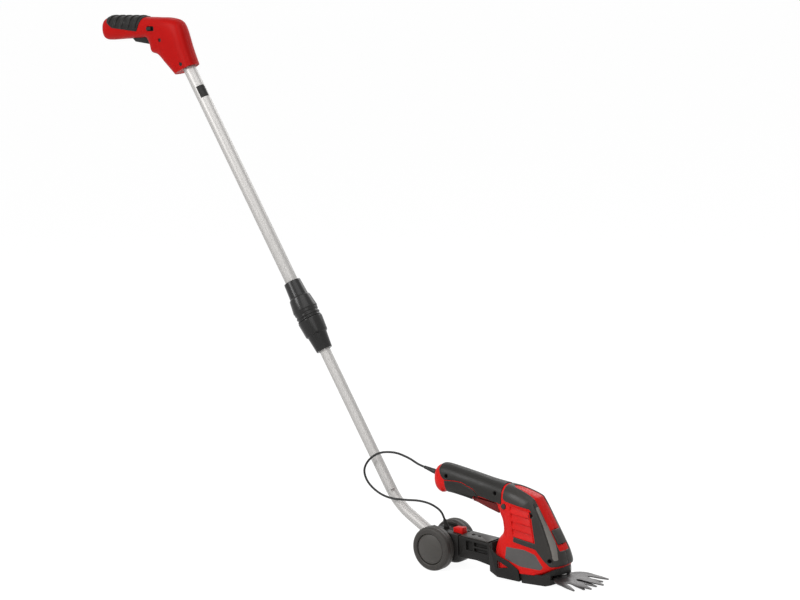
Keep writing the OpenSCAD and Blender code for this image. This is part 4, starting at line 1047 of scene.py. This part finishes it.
def on_handle(p):
    return (HANDLE_O[0] + HANDLE_LEN * p[0], HANDLE_O[1] + HANDLE_H * p[1])


def tube_room(co):
    """Bore of the tube where it leaves the handle."""
    line = POLE_DIR[[0, 2]]
    p = co[:, (0, 2)] - BEND[[0, 2]]
    off = p[:, 0] * line[1] - p[:, 1] * line[0]
    return np.minimum(UPPER_R + BORE_PLAY - np.hypot(off, co[:, 1]), BORE_END - p @ line)


def add_ribbed_pad():
    """Grip pad over the top of the handle."""
    pad = inside([on_handle(p) for p in RIBBED_SHARES])
    ribs = [inside([on_handle((p[0] + i * RIB_PITCH, p[1])) for p in RIB_SHARES]) for i in range(RIBS)]

    def rib(co):
        return np.maximum.reduce([r(co) for r in ribs])
    patch = trimmed(loft(HANDLE_ROWS, *RIBBED_SPAN), RIBBED_ROUND, pad)
    for level in RIB_LEVELS:
        patch = cut(patch, rib, level)
    rise = rounded(rib, RIB_LEVELS[-1], RIB_H, 0.0)
    base = rounded(pad, RIBBED_ROUND, CLAD, CLAD_FOOT)

    def lift(co):
        return base(co) + rise(co) * np.clip(pad(co) / RIB_FADE - RIB_EDGE, 0.0, 1.0)
    halves = joined(*(solid(patch, lift, RIBBED_BACK, side, True) for side in (1, -1)))
    add_body("handle_pad_ribbed", halves, BLACK, "handle_pad", ("handle_pad",), TURNED_WELD)


def add_handle():
    whole = loft(HANDLE_ROWS, 0, len(HANDLE_ROWS) - 1, capped=True)
    trigger_room = inside([on_handle(p) for p in HANDLE_GAP_SHARES])
    lock_slot = inside(block(on_handle(HANDLE_LOCK_SHARE), *LOCK_SLOT))
    cross = pole_point(CROSS_Q)
    screws = (on_handle(HANDLE_SCREW_SHARE), (cross[0], cross[2]))
    trigger_slot = both(trigger_room, lambda co: HANDLE_GAP_HALF - np.abs(co[:, 1]))
    shell = both(outside(trigger_slot, lock_slot, tube_room), off_middle(SHELL_SLOPE))
    for side, word in HALVES:
        field = both(shell, outside(*(disc(at, HEAD_HOLE) for at in screws))) if side < 0 else shell
        node = "handle_" + word
        body = moulded(whole, field, *HANDLE_RIM, -WALL, side)
        # The handle's deeper red is painted shade.
        add_body(node + "_skin", body, HANDLE_SHADED_RED, node, (node,))
    add_ribbed_pad()
    # Near-black cups in the handle's screw holes: painted shade.
    bodies = [turned(CUP_PROFILE, (x, 0.0, z), (0, 1, 0), WELL_SIDES) for x, z in screws]
    add_body("handle_shade_wells", joined(*bodies), HOLE_SHADE, "handle_right", weld=WELD)


add_handle()

LID_S = 10.96
LID_T = 2.0
LID_PLAY = 0.1
LID_SHARE = 0.985


def add_lid():
    """Floor of the handle round the tube."""
    row = section(HANDLE_ROWS, LID_S)
    half = half_ring(row)
    ring = np.concatenate([half, half[-2:0:-1] * (1, -1, 1)])
    chord = np.array([row[2] - row[0], 0.0, row[3] - row[1]])
    chord /= np.linalg.norm(chord)
    across = np.array([0.0, 1.0, 0.0])
    up = np.cross(chord, across)
    up *= np.sign(up @ POLE_DIR)
    start = np.array([row[0], 0.0, row[1]])
    middle = BEND + POLE_DIR * (((start - BEND) @ up) / (POLE_DIR @ up))
    spread = (UPPER_R + LID_PLAY) / abs(POLE_DIR @ up)
    inner = []
    for p in ring:
        turn = math.atan2((p - middle)[1] / UPPER_R, ((p - middle) @ chord) / spread)
        inner.append(middle + chord * spread * math.cos(turn) + across * UPPER_R * math.sin(turn))
    outer = middle + (ring - middle) * LID_SHARE
    n = len(ring)
    points = [*outer, *inner, *(outer + up * LID_T), *(inner + up * LID_T)]
    faces = []
    for k in range(n):
        m = (k + 1) % n
        faces += [[k, m, n + m, n + k], [2 * n + k, 3 * n + k, 3 * n + m, 2 * n + m],
                  [k, 2 * n + k, 2 * n + m, m], [n + k, n + m, 3 * n + m, 3 * n + k]]
    add_body("handle_lid", (points, faces), HANDLE_SHADED_RED, "handle_left", weld=WELD)


def add_flanges():
    """Plates of the handle lock behind its slots."""
    plates = pair(block(on_handle(HANDLE_LOCK_SHARE), *FLANGE), FLANGE_Y)
    add_body("lock_flanges", plates, BLACK, "handle_lock", weld=WELD)


add_lid()
add_flanges()

# Trigger walls and the front rim of the base
SKIRT_SHARES = [(0.309, 0.684), (0.31, 0.7), (0.342, 0.742), (0.5, 0.706), (0.5, 0.67), (0.36, 0.69)]
SKIRT_Y = (7.4, 8.9)
LIP_S = 15.06
LIP_REAR = 6.0
LIP_CENTRE = -20.0
LIP_IN = 0.6
LIP_T = 2.0
LIP_LINE = ((20.0, 17.1), (51.3, 33.06))
LIP_RISE = 1.4
LIP_DROP = 4.6


def add_skirts():
    """Side walls of the trigger that run inside the grip."""
    plates = pair([on_shears(p) for p in SKIRT_SHARES], SKIRT_Y)
    add_body("trigger_skirts", plates, PAINTED_SHADE_RED, "trigger", weld=WELD)


def add_lip():
    """Front rim of the base under the chin."""
    half = half_ring(section(SHEARS_ROWS, LIP_S))
    half = half[half[:, 0] > LIP_REAR]
    ring = np.concatenate([half, (half * (1, -1, 1))[-2::-1]])
    (x0, z0), (x1, z1) = LIP_LINE
    points, faces = [], []
    for inset, rise in ((LIP_IN, LIP_RISE), (LIP_IN, -LIP_DROP), (LIP_IN + LIP_T, -LIP_DROP),
                        (LIP_IN + LIP_T, LIP_RISE)):
        for x, y, _ in ring:
            pull = np.array([x - LIP_CENTRE, y]) / np.hypot(x - LIP_CENTRE, y)
            spot = np.array([x, y]) - pull * inset
            points.append((spot[0], spot[1], max(z0, z0 + (spot[0] - x0) * (z1 - z0) / (x1 - x0)) + rise))
    n = len(ring)
    for row in range(4):
        for k in range(n - 1):
            a, b = row * n + k, (row + 1) % 4 * n + k
            faces.append([a, b, b + 1, a + 1])
    faces += [[0, 3 * n, 2 * n, n], [n - 1, 2 * n - 1, 3 * n - 1, 4 * n - 1]]
    add_body("base_lip", (points, faces), BLACK, "base_tray", weld=WELD)


add_skirts()
add_lip()

# Mouldings and metal parts with eased edges: width of the ease in millimetres and material
# The trigger takes the darker red, which is painted shade from the grip above it.
EASED = {"trigger": (1.0, PAINTED_SHADE_RED), "front_button": (1.0, DARK), "charge_socket": (0.3, BLACK),
         "base_tray": (0.8, BLACK), "cradle": (0.7, BLACK), "boom": (0.7, BLACK), "boom_plate": (0.5, DARK),
         "hub_left": (1.0, BLACK), "hub_right": (1.0, BLACK), "release_button": (1.6, RED),
         "handle_trigger": (1.2, BLACK), "handle_lock": (0.8, BLACK), "fixed_blade": (0.25, BLADE),
         "moving_blade": (0.25, BLADE), "blade_pivot": (0.4, STEEL), "cord_gland": (0.4, BLACK),
         "axle": (0.4, STEEL)}
for node, (width, material) in EASED.items():
    eased(node, width, material)

# Floor, light and background
FLOOR_HALF = 60.0
FLOOR_ROUGH = 0.9
FLOOR_DRIFT = 0.4
FLOOR_TONES = (0.9, 0.94)
FLOOR_GLOW = 1.15
FLOOR_GLOW_SHARE = 0.82
WORLD_LIGHT = 0.22
# Place, target, size and power of each lamp
LAMPS = {"key_soft": ((-1.7, -3.3, 2.3), (-0.1, 0.0, 0.2), (1.3, 1.5), 82.0),
         "fill_right": ((2.2, -3.0, 2.9), (0.05, 0.0, 0.1), (3.0, 2.4), 46.0),
         "rim_back": ((-0.4, 2.6, 1.9), (-0.2, 0.0, 0.3), (2.4, 1.0), 26.0),
         "top_soft": ((0.5, -0.6, 2.8), (0.0, 0.0, 0.1), (1.8, 1.8), 24.0)}


def seen_rays(tree):
    """Socket that is 1 for camera rays, reflections and rays through clear pieces."""
    rays = tree.nodes.new("ShaderNodeLightPath")
    seen = rays.outputs["Is Camera Ray"]
    for name in ("Is Glossy Ray", "Is Transmission Ray"):
        either = tree.nodes.new("ShaderNodeMath")
        either.operation = "MAXIMUM"
        tree.links.new(seen, either.inputs[0])
        tree.links.new(rays.outputs[name], either.inputs[1])
        seen = either.outputs["Value"]
    return seen


def add_floor():
    """White floor that mostly glows where it is seen; the rest takes the shadow."""
    bm = bmesh.new()
    bmesh.ops.create_grid(bm, x_segments=2, y_segments=2, size=FLOOR_HALF)
    mesh = bpy.data.meshes.new("floor")
    bm.to_mesh(mesh)
    bm.free()
    mat, tree = node_tree("floor_white")
    shader = tree.nodes["Principled BSDF"]
    put(shader, "Roughness", FLOOR_ROUGH)
    tone = ramp_node(tree, noise_node(tree, FLOOR_DRIFT), *FLOOR_TONES)
    link(tree, tone, "Color", shader, "Base Color")
    glow = tree.nodes.new("ShaderNodeEmission")
    put(glow, "Strength", FLOOR_GLOW)
    white = tree.nodes.new("ShaderNodeMixShader")
    put(white, "Fac", FLOOR_GLOW_SHARE)
    link(tree, shader, "BSDF", white, 1)
    link(tree, glow, "Emission", white, 2)
    mix = tree.nodes.new("ShaderNodeMixShader")
    tree.links.new(seen_rays(tree), mix.inputs["Fac"])
    link(tree, shader, "BSDF", mix, 1)
    link(tree, white, "Shader", mix, 2)
    link(tree, mix, "Shader", tree.nodes["Material Output"], "Surface")
    mesh.materials.append(mat)
    floor = bpy.data.objects.new("floor", mesh)
    SCENE.collection.objects.link(floor)


def add_world():
    world = bpy.data.worlds.new("studio")
    SCENE.world = world
    world.use_nodes = True
    tree = world.node_tree
    back = tree.nodes["Background"]
    put(back, "Color", (1.0, 1.0, 1.0, 1.0))
    level = tree.nodes.new("ShaderNodeMapRange")
    put(level, "To Min", WORLD_LIGHT)
    tree.links.new(seen_rays(tree), level.inputs["Value"])
    link(tree, level, "Result", back, "Strength")


def add_lamp(name, place, target, sides, power):
    data = bpy.data.lights.new(name, "AREA")
    data.shape = "RECTANGLE"
    data.size, data.size_y = sides
    data.energy = power
    lamp = bpy.data.objects.new(name, data)
    lamp.location = place
    lamp.rotation_euler = (Vector(target) - Vector(place)).to_track_quat("-Z", "Y").to_euler()
    SCENE.collection.objects.link(lamp)


add_floor()
add_world()
for name, values in LAMPS.items():
    add_lamp(name, *values)
SCENE.view_settings.view_transform = "Standard"
